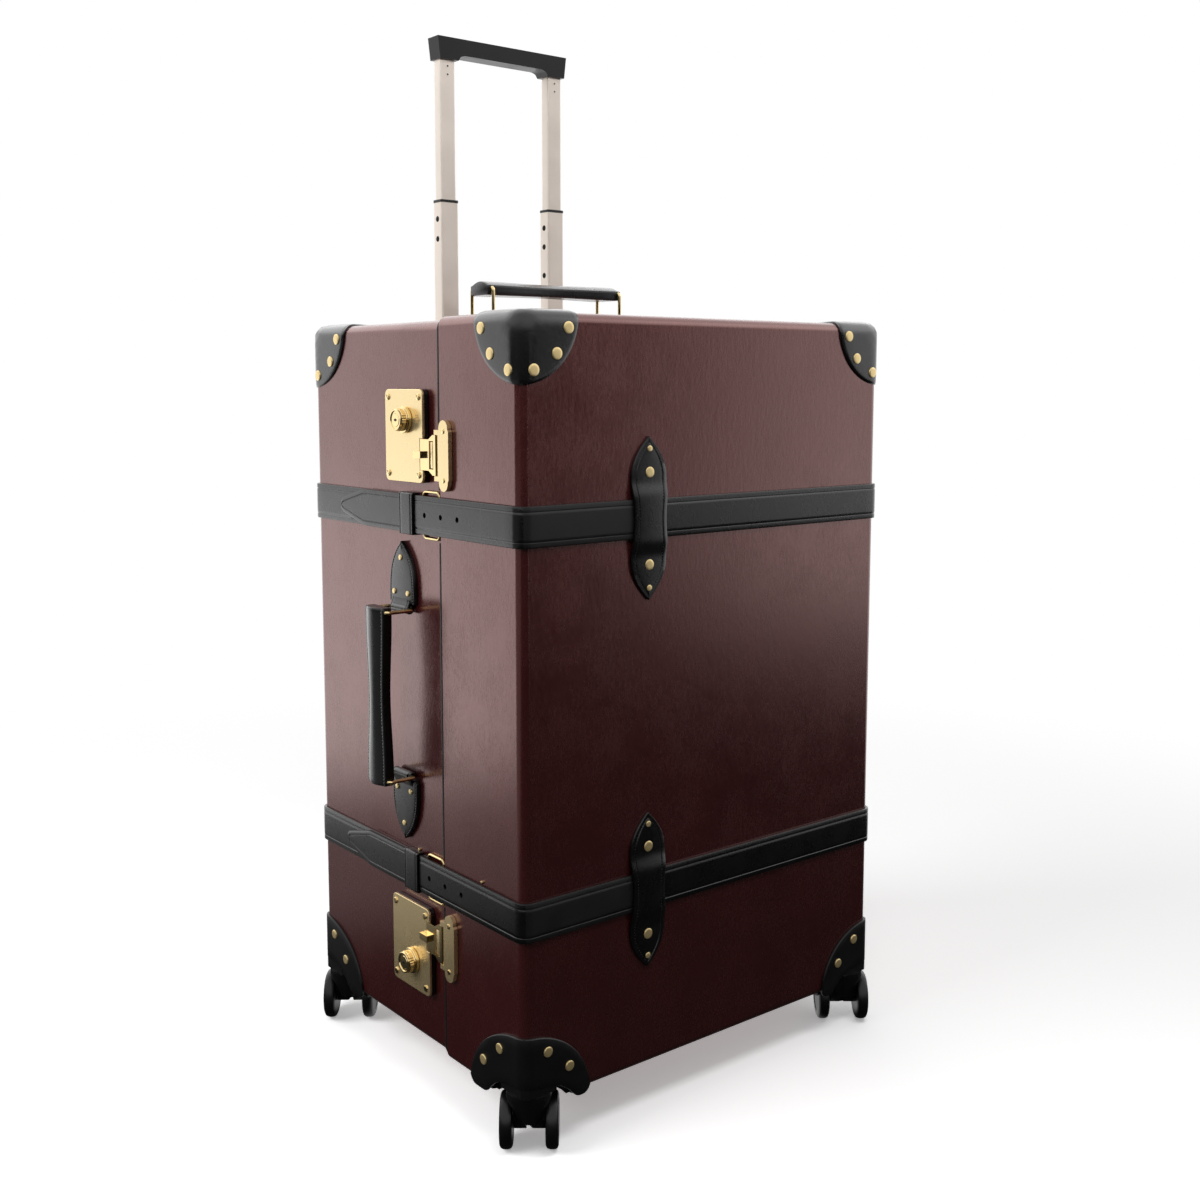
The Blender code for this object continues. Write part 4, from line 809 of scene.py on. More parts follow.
def strap_pieces(side):
    low, high = corners("strap_tail_" + side)
    strap_low, strap_high = corners("strap_lid_" + side)
    keeper_low, keeper_high = corners("front_keeper_" + side)
    z = (strap_low.z + strap_high.z) / 2
    half = (strap_high.z - strap_low.z) / 2
    keeper_x = (keeper_low.x + keeper_high.x) / 2
    front_y = FRONT - GAP
    path = BASE_PATH + straight_run((LID_HIGH.x - EDGE, front_y), (keeper_x, front_y), -Y)
    path.append((Vector((keeper_x, front_y, 0)), -Y))
    strip = skin(at_height(path, z), Z, lambda i: strip_section(half, STRAP_THICK))
    back_strap = add_piece("strap_round_" + side, strip, LEATHER, None,
                           ("strap_base_" + side, "strap_lid_" + side))
    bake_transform(back_strap, "base", "lid", (BASE_HIGH.x, SEAM + 0.016, z), (BASE_HIGH.x, SEAM - 0.016, z))

    left, tip = LID_LOW.x - GAP, high.y
    path = [(Vector((keeper_x, front_y, 0)), -Y)]
    path += straight_run((keeper_x, front_y), (LID_LOW.x + EDGE, front_y), -Y)
    path += corner_run((LID_LOW.x + EDGE, FRONT + EDGE), -90, -180)
    path += straight_run((left, FRONT + EDGE), (left, low.y - 0.012), -X)
    path += straight_run((left, low.y - 0.012), (left, low.y + 0.012), -X, 0.002)
    path += straight_run((left, low.y + 0.012), (left, tip - 0.052), -X, 0.006)
    path += straight_run((left, tip - 0.052), (left, tip - 0.006), -X, 0.003)
    for turn in range(0, 91, 10):
        back = 0.006 * (1 - math.sin(math.radians(turn)))
        path.append((Vector((left, tip - back, 0)), -X))

    def taper(i):
        """The full strip up to the tail, then a point with a blunt round end."""
        point, out = path[i]
        back = tip - point.y
        tail_length, point_length = 0.130, 0.050
        if out != -X or back > tail_length:
            return strip_section(half, STRAP_THICK)
        blunt, round_length, round_half = 0.0090, 0.0050, 0.0081
        if back > point_length:
            width = half
        elif back > round_length:
            share = (back - round_length) / (point_length - round_length)
            width = round_half + (half - round_half) * share
        else:
            width = math.sqrt(max(0.0, blunt ** 2 - (blunt - back) ** 2))
        return strip_section(max(width, 0.00005), STRAP_THICK, 0.0048, 0.0006)

    strip = skin(at_height(path, z), Z, taper)
    tail = add_piece("strap_tail_piece_" + side, strip, LEATHER, None,
                     ("strap_tail_" + side,))
    for k in (-1, 0, 1):
        punch_hole(tail, Vector((left, low.y + 0.009 + HOLE_PITCH * k, z)))
    dark_edges(tail, X)
    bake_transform(tail, "lid", "strap_tail_" + side, (left, low.y - 0.010, z), (left, low.y + 0.010, z))
    return z, low.y


def dark_edges(piece, facing):
    """Give the cut edges of a leather piece their dyed finish."""
    piece.data.materials.append(LEATHER_EDGE)
    for face in piece.data.polygons:
        face.material_index = 1 if abs(face.normal.dot(facing)) < 0.6 else 0


def punch_hole(strap, point):
    """Cut a round hole through a strap."""
    bm = bmesh.new()
    lathe(bm, [(HOLE_RADIUS, -0.006), (HOLE_RADIUS, 0.006)], facing_place(point, X), 20)
    cut_away(strap, bm)


STRAP_AT = {side: strap_pieces(side) for side in ("upper", "lower")}
print("straps at:", {side: round(z, 4) for side, (z, y) in STRAP_AT.items()})

# %% [markdown]
# Each tail runs through a leather loop, a narrow band bent over both layers of strap. Under the
# tail lies the buckle: a bent brass wire with round corners, so a bevelled curve is enough.

# %% Loops and buckles


def loop_piece(side):
    z, tail_y = STRAP_AT[side]
    half, top, bend = 0.0216, 0.0090, 0.0022
    x = BASE_LOW.x
    run = [(Vector((x - 0.0004, 0, z - half)), -Z)]
    for bend_z, start in ((z - half + bend, 0), (z + half - bend, 90)):
        for k in range(7):
            turn = math.radians(start + 90 * k / 6)
            out = Vector((-math.sin(turn), 0, -math.cos(turn)))
            run.append((Vector((x - top + bend, 0, bend_z)) + out * bend, out))
    run.append((Vector((x - 0.0004, 0, z + half)), Z))
    spine = [(point - out * 0.0020 + Y * (tail_y + 0.072), out) for point, out in run]
    band = skin(spine, Y, lambda i: strip_section(0.013, 0.0020, 0.0028, 0.0003))
    add_piece("strap_loop_" + side, band, LEATHER, "strap_tail_" + side)


def wire(name, points, radius, material, body, stands_for=()):
    """A closed loop of round wire through points."""
    curve = bpy.data.curves.new(name, "CURVE")
    curve.dimensions = "3D"
    curve.bevel_depth = radius
    curve.bevel_resolution = 4
    spline = curve.splines.new("POLY")
    spline.points.add(len(points) - 1)
    for spot, point in zip(spline.points, points):
        spot.co = (*point, 1)
    spline.use_cyclic_u = True
    guide = bpy.data.objects.new(name + "_guide", curve)
    scene.collection.objects.link(guide)
    graph = bpy.context.evaluated_depsgraph_get()
    mesh = bpy.data.meshes.new_from_object(guide.evaluated_get(graph))
    bpy.data.objects.remove(guide)
    add_piece(name, mesh, material, body, stands_for, 60)


def round_rectangle(middle, u, v, width, height, radius, steps=6):
    """Points round a rectangle with round corners, on two directions."""
    points = []
    for quarter, (su, sv) in enumerate(((1, 1), (-1, 1), (-1, -1), (1, -1))):
        centre = middle + u * su * (width / 2 - radius) + v * sv * (height / 2 - radius)
        for k in range(steps + 1):
            turn = math.radians(90 * quarter + 90 * k / steps)
            points.append(centre + u * math.cos(turn) * radius + v * math.sin(turn) * radius)
    return points


def buckle_piece(side):
    low, high = corners("buckle_" + side)
    size = high - low
    radius = 0.0015
    points = round_rectangle((low + high) / 2, Y, Z, size.y - 2 * radius, size.z - 2 * radius, 0.005)
    wire("buckle_wire_" + side, points, radius, BRASS, "base", ("buckle_" + side,))


for side in STRAP_AT:
    loop_piece(side)
    buckle_piece(side)
print("loops and buckles: 2 of each")

# %% [markdown]
# Rivets, screws and stitches come in rows, so each row is one mesh. A rivet is a low turned
# head. A stitch is a small bead of thread, laid along its seam with a gap after each.

# %% Rivets and stitches


def rivets(name, spots, radius, height, material, body):
    """Turned heads at (point, normal) spots, all on one body."""
    bm = bmesh.new()
    profile = [(radius, -0.0004), (radius, 0.50 * height), (0.97 * radius, 0.76 * height)]
    profile += [(0.90 * radius, 0.92 * height), (0.6 * radius, 0.98 * height), (0.2 * radius, height)]
    for point, normal in spots:
        lathe(bm, profile, facing_place(point, normal), 24)
    add_piece(name, bm, material, body, angle=50)


def stitches(name, rows, body, pitch=0.0034, length=0.0024, thick=0.00042, thread=THREAD):
    """Beads of thread along rows of (point, outward) pairs."""
    bm = bmesh.new()
    for row in rows:
        travelled = 0.0
        for (a, out), (b, _) in zip(row, row[1:]):
            run = b - a
            while run.length and travelled <= run.length:
                along = run.normalized()
                side = out.cross(along).normalized()
                turn = Matrix((along, side, out)).transposed().to_4x4()
                size = Matrix.Diagonal((length / 2, thick, thick, 1))
                place = Matrix.Translation(a + along * travelled) @ turn @ size
                bmesh.ops.create_icosphere(bm, subdivisions=1, radius=1.0, matrix=place)
                travelled += pitch
            travelled -= run.length
    mesh = bpy.data.meshes.new(name)
    bm.to_mesh(mesh)
    bm.free()
    add_piece(name, mesh, thread, body, angle=80)


print("fasteners ready")

# %% [markdown]
# A keeper is a long leather leaf on the front that the strap runs under. Its spine climbs over
# the strap and comes down again, its width follows a waist, a bulge and a point, and a line of
# black thread runs parallel to its edge. Two small tacks sit just above the lower strap.

# %% Strap keepers


def leaf_section(half, thick, lift, line, press=0.0006):
    """A cut leaf: its pressed line stays at the same distance from the edge as the leaf narrows."""
    edge = [(0.0002, lift), (0.0, lift + 0.4 * thick), (0.0002, lift + 0.80 * thick), (0.0009, lift + thick)]
    edge += [(line - 0.0010, lift + 1.02 * thick), (line - 0.0003, lift + thick - press)]
    edge += [(line + 0.0003, lift + thick - press), (line + 0.0010, lift + 1.04 * thick)]
    edge += [(line + 0.0050, lift + 1.12 * thick)]
    right = [(max(0.0, half - inset), height) for inset, height in edge]
    return right + [(0.0, lift + 1.14 * thick)] + [(-w, h) for w, h in reversed(right)] + [(0.0, lift)]


def keeper_half(z, length, waist, bulge):
    z = abs(z)
    if z < length / 4:
        return waist + (bulge - waist) * math.sin(math.pi / 2 * z / (length / 4)) ** 2
    t = (z - length / 4) / (length / 4)
    return bulge * max(0.0, 1 - t ** 2)


def keeper_piece(side):
    low, high = corners("front_keeper_" + side)
    length = high.z - low.z
    middle = Vector(((low.x + high.x) / 2, FRONT - GAP, (low.z + high.z) / 2))
    bulge = (high.x - low.x) / 2
    thick, line = 0.0027, 0.0055
    steps = 72
    heights = [-length / 2 * math.cos(math.pi * k / steps) for k in range(steps + 1)]

    def lift(z):
        return (STRAP_THICK + GAP) * (1 - smooth_step((abs(z) - 0.0200) / 0.0190))

    def half_at(z):
        return keeper_half(z, length, 0.89 * bulge, bulge)

    def section(i):
        return leaf_section(max(half_at(heights[i]), 0.00003), thick, lift(heights[i]), line)

    leaf = skin([(middle + Z * z, -Y) for z in heights], X, section)
    add_piece("keeper_leaf_" + side, leaf, LEATHER, "lid", ("front_keeper_" + side,))
    rows = []
    for sign in (-1, 1):
        row = []
        for z in heights:
            half = half_at(z) - line
            if half > 0.0012:
                row.append((middle + Z * z + X * sign * half - Y * (lift(z) + thick - 0.0003), -Y))
        rows.append(row)
    stitches("keeper_stitches_" + side, rows, "lid", pitch=0.0030, length=0.0021, thread=BLACK_THREAD)
    large = [(middle + Z * z - Y * (lift(z) + thick + 0.0002), -Y) for z in (-0.0455, 0.0455)]
    small = [(middle + Z * z - Y * thick, -Y) for z in (-0.0685, 0.0685)]
    rivets("keeper_rivets_" + side, large, 0.0054, 0.0011, RIVET_BRASS, "lid")
    rivets("keeper_tacks_" + side, small, 0.0031, 0.0011, RIVET_BRASS, "lid")


for side in STRAP_AT:
    keeper_piece(side)
tack_z = STRAP_AT["lower"][0] + 0.0225
for body, x, back in (("base", BASE_LOW.x, 0.190), ("lid", LID_LOW.x, 0.068)):
    spot = (Vector((x, FRONT + back, tack_z)), -X)
    rivets("strap_tack_" + body, [spot], 0.0016, 0.0020, BRASS, body)
print("keepers: 2")

# %% [markdown]
# A handle is a stitched leather grip on two wire links. Each link swings in an anchor: a
# pointed leather leaf, riveted to the case, whose end is rolled round the link's inner bar.

# %% Handle anchors


def anchor_half(s, length, full, neck):
    """Half width of an anchor at a distance from the link's bar."""
    if s < 0.006:
        return neck + (full - neck) * smooth_step((s - 0.003) / 0.003)
    return full * max(0.0, 1 - ((s - 0.006) / (length - 0.006)) ** 3.4)


def anchor_piece(node, seat, along, across, out):
    """A leaf along a direction on a face, with its roll."""
    length, full, neck, thick, line = 0.070, 0.0245, 0.0172, 0.0048, 0.0030
    bar, roll_thick = 0.0024, 0.0024
    steps = 40
    reach = [0.001 + (length - 0.001) * math.sin(math.pi / 2 * k / steps) for k in range(steps + 1)]

    def section(i):
        half = max(anchor_half(reach[i], length, full, neck), 0.00003)
        return leaf_section(half, thick, 0.0, line, 0.0007)

    base = seat + out * GAP
    leaf = skin([(base + along * s, out) for s in reach], across, section)
    add_piece(node + "_leaf", leaf, LEATHER, body_of(node), (node,))
    axis = seat + out * (GAP + 0.005)
    roll = []
    for k in range(23):
        turn = math.radians(-150 + 290 * k / 22)
        facing = out * math.sin(turn) - along * math.cos(turn)
        roll.append((axis + facing * bar, facing))
    for k in range(1, 7):
        t = k / 6
        drop = 0.0062 - 0.0024 * smooth_step(t)
        roll.append((seat + out * drop + along * (0.0022 + 0.008 * t), out))
    rolled = skin(roll, across, lambda i: strip_section(neck, roll_thick, 0.0022, 0.0003))
    add_piece(node + "_roll", rolled, LEATHER, body_of(node))
    rows = []
    for sign in (-1, 1):
        row = []
        for s in reach:
            half = anchor_half(s, length, full, neck) - line
            if s > 0.006 and half > 0.001:
                row.append((base + along * s + across * sign * half + out * (thick - 0.0004), out))
        rows.append(row)
    stitches(node + "_stitches", rows, body_of(node), pitch=0.0030, length=0.0021)
    top = base + out * 1.08 * thick
    spots = [(top + along * 0.0165 + across * w, out) for w in (-0.0135, 0.0135)]
    spots.append((top + along * 0.0530, out))
    rivets(node + "_rivets", spots, 0.0030, 0.0016, RIVET_BRASS, body_of(node))


print("anchors ready")

# %% [markdown]
# A grip is two skins of leather sewn over a core. It is flat below, crowned on its face and
# narrower in its middle. A rounded box would miss the crown and the waist, so a section that
# changes along the grip is skinned instead. The links are bent wire, like the buckles.

# %% Grips and links


def grip_section(half, thick, line=0.0030):
    """A grip of two skins over a core: flat below, upright sides, a stitched line, a crowned face."""
    edge = [(half, 0.5), (half, 0.63), (half - 0.0004, 0.675), (half - 0.0012, 0.70)]
    edge += [(half - line + 0.0006, 0.722), (half - line, 0.712), (half - line - 0.0006, 0.734)]
    for share in (0.90, 0.75, 0.55, 0.35, 0.15):
        edge.append(((half - line - 0.0006) * share, 0.734 + 0.266 * math.cos(math.pi / 2 * share)))
    under = [(half - 0.0050, 0.0), (half - 0.0014, 0.010), (half - 0.0004, 0.045), (half, 0.10), (half, 0.30)]
    right = [(w, h * thick) for w, h in under + edge]
    return right + [(0.0, thick)] + [(-w, h) for w, h in reversed(right)]


def grip_piece(node, along, across, out):
    low, high = corners(node)
    middle = (low + high) / 2
    size = high - low
    half_length = abs(size.dot(along)) / 2
    half_width = abs(size.dot(across)) / 2
    thick = abs(size.dot(out))
    steps = 64
    stations = [-half_length * math.cos(math.pi * k / steps) for k in range(steps + 1)]

    def waist(s):
        share = min(1.0, abs(s) / half_length * 1.12)
        return math.cos(math.pi / 2 * share) ** 2

    def half_at(s):
        return half_width * (1 - 0.19 * waist(s))

    def draw(s):
        end = min(1.0, (half_length - abs(s)) / 0.0050)
        return math.sqrt(max(0.0, 1 - (1 - end) ** 2))

    def section(i):
        s = stations[i]
        full = thick * (1 - 0.10 * waist(s)) * (0.86 + 0.14 * draw(s))
        ring = grip_section(half_at(s) - 0.0016 * (1 - draw(s)), full)
        return [(w, thick / 2 + h - full / 2) for w, h in ring]

    spine = [(middle + along * s - out * thick / 2, out) for s in stations]
    add_piece(node + "_leather", skin(spine, across, section), LEATHER, body_of(node),
              (node,))
    rows = []
    for face in (1, -1):
        for sign in (-1, 1):
            row = []
            for s in stations[6:-6]:
                lift = out * (0.214 if face > 0 else -0.492) * thick * (1 - 0.10 * waist(s))
                facing = (out * face + across * sign * 0.4).normalized()
                row.append((middle + along * s + across * sign * (half_at(s) - 0.0028) + lift, facing))
            rows.append(row)
    stitches(node + "_stitches", rows, body_of(node), thick=0.0005)


def link_piece(node, u, v):
    low, high = corners(node)
    size = high - low
    radius = 0.0020
    width = abs(size.dot(u)) - 2 * radius
    height = abs(size.dot(v)) - 2 * radius
    points = round_rectangle((low + high) / 2, u, v, width, height, 0.0030)
    wire(node + "_wire", points, radius, BRASS, body_of(node), (node,))


def bar_seat(node, out_axis, face):
    """The point on the case under a link's inner bar."""
    low, high = corners(node)
    seat = (low + high) / 2
    seat[out_axis] = face
    return seat


for end, sign in (("lower", -1), ("upper", 1)):
    seat = bar_seat("side_link_" + end, 0, BASE_LOW.x)
    anchor_piece("side_chape_" + end, seat, Z * sign, Y, -X)
    link_piece("side_link_" + end, X, Y)
for end, sign in (("left", -1), ("right", 1)):
    seat = bar_seat("top_link_" + end, 2, BASE_HIGH.z)
    anchor_piece("top_chape_" + end, seat, X * sign, Y, Z)
    link_piece("top_link_" + end, Z, Y)
grip_piece("side_grip", Z, Y, -X)
grip_piece("top_grip", X, Y, Z)
print("handles: 2, anchors: 4")

# %% [markdown]
# A corner cap is one piece of leather, moulded wet over the corner. Flat polar rings are drawn
# round the corner on its three faces, and a rounding map then lifts every point onto the
# rounded corner at a given height, so the cap wraps the corner as leather does.

# %% Corner caps


def on_corner(p, radius, height):
    """Map a point of a sharp corner, given by its distances inwards, onto the rounded one."""
    core = Vector([max(c, radius) for c in p])
    return core + (p - core).normalized() * (radius + height)


def cap_point(share, turn, reach, depth, drop):
    """A polar point round the corner: front face, side face, then top."""
    quarter = turn % 270 / 90
    angle = math.radians(90 * (quarter - int(quarter)))
    c, s = math.cos(angle) * share, math.sin(angle) * share
    if quarter < 1:
        return Vector((reach * c, 0, drop * s))
    if quarter < 2:
        return Vector((0, depth * s, drop * c))
    return Vector((reach * s, depth * c, 0))


# Each ring lies at a share of the way to the cap's edge, at a height above the case.
CAP_RINGS = [(share, 0.0030) for share in (0.03, 0.15, 0.30, 0.45, 0.60, 0.75)]
CAP_RINGS += [(0.85, 0.0029), (0.92, 0.0028), (0.955, 0.0027), (0.980, 0.0023), (0.993, 0.0016)]
CAP_RINGS += [(1.0, 0.0008), (1.0, 0.0)]
CAP_ROUNDING = EDGE + 0.0020


def cap_piece(node, corner, sx, sy):
    body = body_of(node)
    low, high = corners(node)
    reach, depth, drop = (v - 0.0027 for v in high - low)
    flip = Vector((sx, sy, -1))
    bm = bmesh.new()
    rings = []
    turns = [270 * k / 90 for k in range(90)]
    for share, height in CAP_RINGS:
        rounding = CAP_ROUNDING if height > 0.002 else EDGE
        ring = []
        for turn in turns:
            p = on_corner(cap_point(share, turn, reach, depth, drop), rounding, height)
            ring.append(bm.verts.new(corner + p * flip))
        rings.append(ring)
    join_rings(bm, rings)
    bm.faces.new(rings[0])
    add_piece(node + "_moulded", bm, CAP_LEATHER, body, (node,))
    spots = []
    for turn in (15, 44, 76, 104, 136, 165):
        p = cap_point(0.82, turn, reach, depth, drop)
        normal = Vector((0, -1, 0)) if turn < 90 else Vector((-1, 0, 0))
        spots.append((corner + on_corner(p, EDGE, 0.0029) * flip, normal * Vector((sx, sy, 1))))
    rivets(node + "_rivets", spots, 0.0058, 0.0012, RIVET_BRASS, body)


for name, bottom, top, sx, sy in CORNERS:
    cap_piece("cap_" + name, top, sx, sy)
print("caps: 4")

# %% [markdown]
# The feet are moulded plastic brackets with a cup for the caster. The cup and the floor come
# from the solid. The wall is drawn again round the corner, because its lower edge makes an arch
# and ends in two rounded lobes. Grooves cut into the fork leave its fins, and the wheels are
# turned again with a tread and a sunk hub, because a wheel shows its profile from every side.

# %% Feet and casters
HEADING = Vector((math.cos(math.radians(51.3)), math.sin(math.radians(51.3)), 0))
FOOT_RISE = 0.073
FOOT_OUTSIDE = 0.0028
LOBE_ROUND = 0.0095
# Distances from the corner, with the height of the bracket's lower edge there.
FOOT_LOWER_EDGE = ((0.0, 0.0222), (0.020, 0.0208), (0.032, 0.0185), (0.040, 0.0160), (0.047, 0.0122))
FOOT_LOWER_EDGE += ((0.053, 0.0072), (0.0575, 0.0022), (0.0605, -0.0008), (0.064, -0.0022))
FOOT_LOWER_EDGE += ((0.100, -0.0024),)
# Blocks cut from a bracket's solid: place along, outwards and up, then length, depth and height.
FOOT_CUTS = ((0.040, 0.0064, 0.040, 0.140, 0.010, 0.120), (0.068, 0.0030, 0.0035, 0.061, 0.014, 0.025))
WHEEL_INNER, WHEEL_OUTER = 0.01625, 0.02875


def foot_low(u):
    """The lower edge of a bracket at a distance from the corner: an arch, then the lobe."""
    for (a, low), (b, high) in zip(FOOT_LOWER_EDGE, FOOT_LOWER_EDGE[1:]):
        if u <= b:
            return low + (high - low) * (u - a) / (b - a)
    return FOOT_LOWER_EDGE[-1][1]


def arched_foot(node, corner, sx, sy, front_reach, side_reach):
    """The bracket's cup and floor from its solid, under a wall drawn round the corner again."""
    foot = softened(node, PLASTIC, 0.0006)
    front, side = (X * sx, -Y * sy), (Y * sy, -X * sx)
    for along, out in (front, side):
        for u, o, h, length, depth, height in FOOT_CUTS:
            middle = corner + along * u + out * o + Z * h
            size = [abs(a) * length + abs(b) * depth + abs(c) * height for a, b, c in zip(along, out, Z)]
            cut_block(foot, middle, size)
    spine, heights = [], []
    turn_at = corner + (front[0] + side[0]) * EDGE

    def add(u, reach, point, out):
        spine.append((point, out))
        turn = min(1.0, max(0.0, (u - reach + LOBE_ROUND) / LOBE_ROUND))
        low = foot_low(u) + LOBE_ROUND * (1 - math.sqrt(1 - turn * turn))
        heights.append((low, max(low + 0.0004, FOOT_RISE * math.sqrt(max(0.0, 1 - (u / reach) ** 2)))))

    count = 40
    for k in range(count + 1):
        u = EDGE + (front_reach - EDGE) * math.cos(math.pi / 2 * k / count)
        add(u, front_reach, corner + front[0] * u, front[1])
    for k in range(1, 12):
        turn = math.radians(90 * k / 12)
        out = front[1] * math.cos(turn) + side[1] * math.sin(turn)
        add(EDGE * abs(1 - k / 6), front_reach, turn_at + out * EDGE, out)
    for k in range(count + 1):
        u = EDGE + (side_reach - EDGE) * math.sin(math.pi / 2 * k / count)
        add(u, side_reach, corner + side[0] * u, side[1])

    def section(i):
        low, high = heights[i]
        inner, outer = GAP, 0.0030
        r = min(0.0011, (high - low) / 2.4)
        ring = [(low, inner), (low, outer - r), (low + 0.3 * r, outer - 0.3 * r), (low + r, outer)]
        ring += [(low + r + (high - low - 2 * r) * k / 5, outer) for k in range(1, 5)]
        return ring + [(high - r, outer), (high - 0.3 * r, outer - 0.3 * r), (high, outer - r), (high, inner)]

    add_piece(node + "_wall", skin(spine, Z, section), PLASTIC, body_of(node), angle=50)


def finned_fork(node, middle):
    """Groove the fork's lower end on both faces, which leaves two fins beside the axle's middle."""
    fork = softened(node, PLASTIC, 0.0006)
    axle = HEADING.cross(Z)
    turn = Matrix((HEADING, axle, Z)).transposed().to_4x4()
    for side, width in ((-0.0150, 0.005), (0.0, 0.006), (0.0150, 0.005)):
        for sign in (-1, 1):
            centre = middle + axle * side + HEADING * sign * 0.022
            cut_block(fork, centre - Z * 0.0050, (0.036, width, 0.021), turn)


def foot_rivets(node, corner, sx, sy):
    narrow, wide = ((0.026, 0.055), (0.052, 0.033)), ((0.037, 0.052), (0.065, 0.030))
    spots = [(corner + Vector((sx * u, -sy * 0.0029, h)), -Y * sy) for u, h in narrow]
    for u, h in wide if sy > 0 else narrow:
        spots.append((corner + Vector((-sx * 0.0029, sy * u, h)), -X * sx))
    rivets(node + "_rivets", spots, 0.0052, 0.0014, RIVET_BRASS, body_of(node))


def wheel_pair(name):
    node = "wheels_" + name
    low, high = corners(node)
    middle = (low + high) / 2
    radius = (high.z - low.z) / 2
    axle = HEADING.cross(Z)
    shoulder = [(0.70, 0.0), (0.88, 0.0), (0.95, 0.0010), (0.985, 0.0026), (1.0, 0.0045)]
    tread = [(share * radius, WHEEL_INNER + d) for share, d in shoulder]
    tread += [(share * radius, WHEEL_OUTER - d) for share, d in reversed(shoulder[1:])]
    tread += [(0.72 * radius, WHEEL_OUTER), (0.70 * radius, WHEEL_OUTER - 0.0006)]
    face = [(0.70, 0.0012), (0.64, 0.0012), (0.60, 0.0036), (0.30, 0.0036), (0.27, 0.0018)]
    face += [(0.12, 0.0014), (0.02, 0.0014)]
    disc = [(0.0040, 0.0001), (0.0040, WHEEL_INNER), (0.70 * radius, WHEEL_INNER + 0.0002)]
    disc += [(share * radius, WHEEL_OUTER - d) for share, d in face]
    tyre, hub = bmesh.new(), bmesh.new()
    for sign in (-1, 1):
        place = facing_place(middle, axle * sign)
        lathe(tyre, tread, place, 48)
        lathe(hub, disc, place, 48)
    add_piece(node + "_tyres", tyre, RUBBER, node, (node,), 30)
    add_piece(node + "_hubs", hub, PLASTIC, node, angle=30)


for name, bottom, top, sx, sy in CORNERS:
    low, high = corners("foot_" + name)
    size = high - low
    arched_foot("foot_" + name, bottom, sx, sy, size.x - FOOT_OUTSIDE, size.y - FOOT_OUTSIDE)
    low, high = corners("wheels_" + name)
    finned_fork("fork_" + name, (low + high) / 2)
    foot_rivets("foot_" + name, bottom, sx, sy)
    wheel_pair(name)
print("casters: 4")

# %% [markdown]
# The locks are polished brass. Plate, hasp and hasp plate keep their solids with broken edges,
# and a little behind the face of its plate the lock turns plain black. A staple on the base
# stands in the hasp's window. The dial is turned again with a ribbed grip and a keyed face, and
# slotted screws hold the plate. The keyway and the screw slots are dark bars of painted shade.

# %% Locks


def screw_heads(name, spots, radius, body):
    """Low domed heads, each with a dark bar of painted shade for its slot."""
    rivets(name, spots, radius, 0.0013, BRASS, body)
    bm = bmesh.new()
    for point, normal in spots:
        normal = Vector(normal)
        slot = Matrix.Rotation(math.radians(35), 4, "Z") @ Matrix.Diagonal((1.7 * radius, 0.0006, 0.0005, 1))
        bmesh.ops.create_cube(bm, size=1.0, matrix=facing_place(point + normal * 0.00115, normal) @ slot)
    add_piece(name + "_slot_shade", bm, HOLE_SHADE, body)


def dial_piece(side):
    node = "dial_" + side
    low, high = corners(node)
    plate_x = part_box("lock_plate_" + side)[0][0]
    middle = (low + high) / 2
    place = facing_place(Vector((plate_x, middle.y, middle.z)), -X)
    radius, top = 0.0115, plate_x - low.x
    knob, grip, key = bmesh.new(), bmesh.new(), bmesh.new()
    foot = [(0.0130, GAP), (0.0135, GAP + 0.0006), (0.0135, 0.0036), (0.0130, 0.0042)]
    foot += [(0.0116, 0.0044), (0.0112, 0.0052), (0.0108, 0.0052)]
    face = [(0.0108, 0.0022), (0.0111, 0.0016), (0.0110, 0.0006), (0.0104, 0.0), (0.0094, 0.0)]
    face += [(0.0088, 0.0010), (0.0070, 0.0010), (0.0066, 0.0006), (0.001, 0.0005)]
    lathe(knob, foot + [(r, top - d) for r, d in face], place, 64)
    ribbed = [(0.0108, 0.0052), (radius, 0.0058), (radius, top - 0.0030), (0.0108, top - 0.0022)]
    lathe(grip, ribbed, place, 56, 0.0004)
    # The keyway is not cut: a dark bar and a dark disc on the face paint in its shade.
    slot = Matrix.Rotation(math.radians(90), 4, "Z") @ Matrix.Diagonal((0.0054, 0.0011, 0.0006, 1))
    bmesh.ops.create_cube(key, size=1.0, matrix=place @ Matrix.Translation((0, 0, top - 0.0006)) @ slot)
    lathe(key, [(0.0015, top - 0.0009), (0.0015, top - 0.0003)], place, 20)
    add_piece(node + "_knob", knob, BRASS, node, (node,), 30)
    add_piece(node + "_grip", grip, BRASS, node, angle=15)
    add_piece(node + "_keyway_shade", key, HOLE_SHADE, node)


# Behind the face of its plate, the lock is coloured plain black.
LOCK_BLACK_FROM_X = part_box("lock_plate_upper")[0][0] + 0.0024
LOCK_PLATE = make_part_black("brushed_brass_black_behind_face", (0.84, 0.66, 0.36), (0.93, 0.73, 0.40),
                             (0.20, 0.30), 0.80, "X", LOCK_BLACK_FROM_X, 0.008, True)


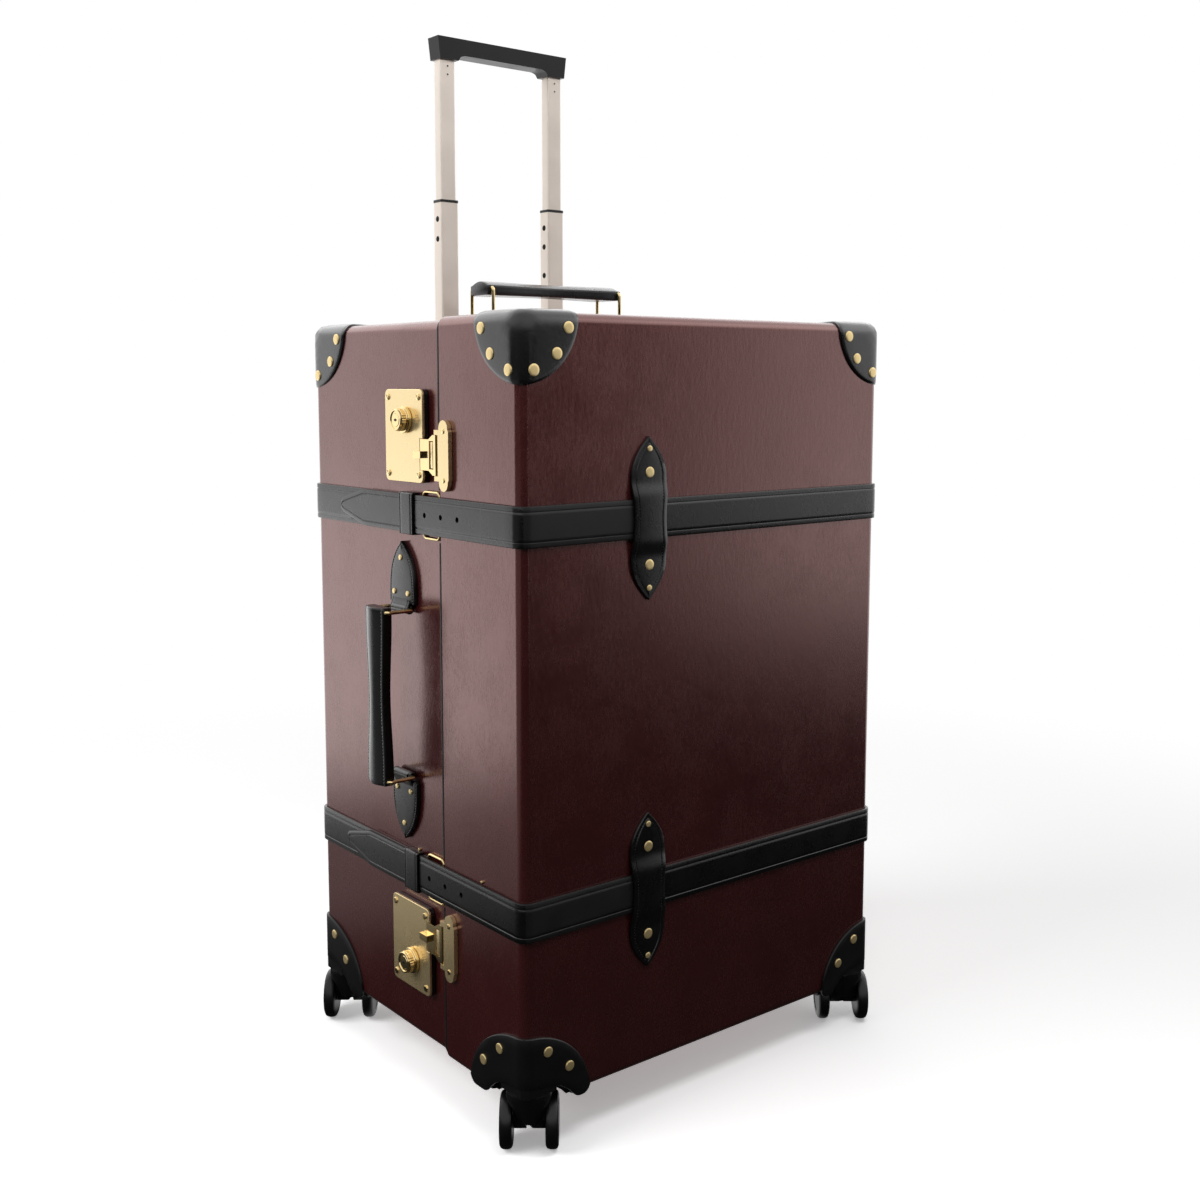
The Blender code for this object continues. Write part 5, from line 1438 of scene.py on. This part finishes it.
def lock_piece(side):
    softened("lock_plate_" + side, LOCK_PLATE, 0.0009, 3)
    softened("hasp_" + side, BRASS, 0.0006, 3)
    softened("hasp_plate_" + side, PLATE_BRASS, 0.0010, 3)
    low, high = corners("lock_plate_" + side)
    spots = []
    for y in (low.y + 0.0075, high.y - 0.0065):
        for z in (low.z + 0.0080, high.z - 0.0080):
            spots.append((Vector((low.x, y, z)), -X))
    screw_heads("lock_screws_" + side, spots, 0.0034, "base")
    low, high = corners("hasp_" + side)
    inner, outer = BASE_LOW.x, LID_LOW.x - 0.0038
    middle = Vector(((inner + outer) / 2, SEAM + 0.0090, (low.z + high.z) / 2))
    size = Matrix.Diagonal((inner - outer, 0.0068, 0.0264, 1))
    staple = bmesh.new()
    bmesh.ops.create_cube(staple, size=1.0, matrix=Matrix.Translation(middle) @ size)
    bmesh.ops.bevel(staple, geom=staple.edges[:], offset=0.0007, segments=2, affect="EDGES", profile=0.5)
    add_piece("hasp_staple_" + side, staple, PLATE_BRASS, "base")
    low, high = corners("hasp_plate_" + side)
    y = SEAM - 0.0135
    spots = [(Vector((low.x, y, z)), -X) for z in (low.z + 0.0110, high.z - 0.0110)]
    rivets("hasp_rivets_" + side, spots, 0.0026, 0.0008, BRASS, "lid")
    dial_piece(side)


for side in STRAP_AT:
    lock_piece(side)
print("locks: 2")

# %% [markdown]
# The trolley is two telescopic tubes of champagne anodised aluminium in a moulded grip. The
# tubes keep their solids and the collars are black. The stop holes are not cut: small dark
# discs of painted shade on the side faces stand for them. The pins under the grip lie flush, so
# that the inner tubes can slide home, and a dot of painted shade marks each pin's hollow centre.
# The hinges on the right side only need broken edges.

# %% Trolley and hinges
COLLAR_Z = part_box("outer_tube_left")[1][2] - 0.0031
GRIP_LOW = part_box("trolley_grip")[0][2]
OUTER_TUBE = make_part_black("champagne_aluminium_collared", (0.88, 0.78, 0.69), (0.93, 0.83, 0.74),
                             (0.32, 0.42), 0.45, "Z", COLLAR_Z, 0.012, False)
# Painted shade: dark dots for the pins' hollow centres and dark discs for the stop holes.
PIN_HOLE_SHADE = [(0.0011, -0.0002), (0.0011, 0.00018), (0.0002, 0.00020)]
STOP_HOLE_SHADE = [(0.0034, -0.0004), (0.0034, 0.00006), (0.0030, 0.00014), (0.0002, 0.00014)]
for hand in ("left", "right"):
    softened("outer_tube_" + hand, OUTER_TUBE, 0.0003)
    softened("inner_tube_" + hand, TUBE, 0.0003)
    low, high = corners("inner_tube_" + hand)
    middle = (low + high) / 2
    spots = [(Vector((middle.x, low.y, GRIP_LOW - d)), -Y) for d in (0.0070, 0.0165)]
    rivets("tube_rivets_" + hand, spots, 0.0024, 0.00014, TUBE, "trolley_inner")
    pin_shade = bmesh.new()
    for point, normal in spots:
        lathe(pin_shade, PIN_HOLE_SHADE, facing_place(point, normal), 16)
    add_piece("tube_pin_shade_" + hand, pin_shade, HOLE_SHADE, "trolley_inner")
    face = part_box("outer_tube_" + hand)[0][0] + 0.0004
    hole_shade = bmesh.new()
    for drop in (0.019, 0.042) if hand == "left" else (0.019, 0.042, 0.077):
        lathe(hole_shade, STOP_HOLE_SHADE, facing_place(Vector((face, middle.y, COLLAR_Z - drop)), -X), 24)
    add_piece("stop_hole_shade_" + hand, hole_shade, HOLE_SHADE, "trolley_outer")
softened("trolley_frame", PLASTIC, 0.0005)
softened("trolley_grip", PLASTIC, 0.0028, 4)
softened("trolley_button", PLASTIC, 0.0008, 3)
for end in ("upper", "lower"):
    softened("hinge_base_" + end, BRASS, 0.0004)
    softened("hinge_lid_" + end, BRASS, 0.0004)
print("trolley and hinges done")
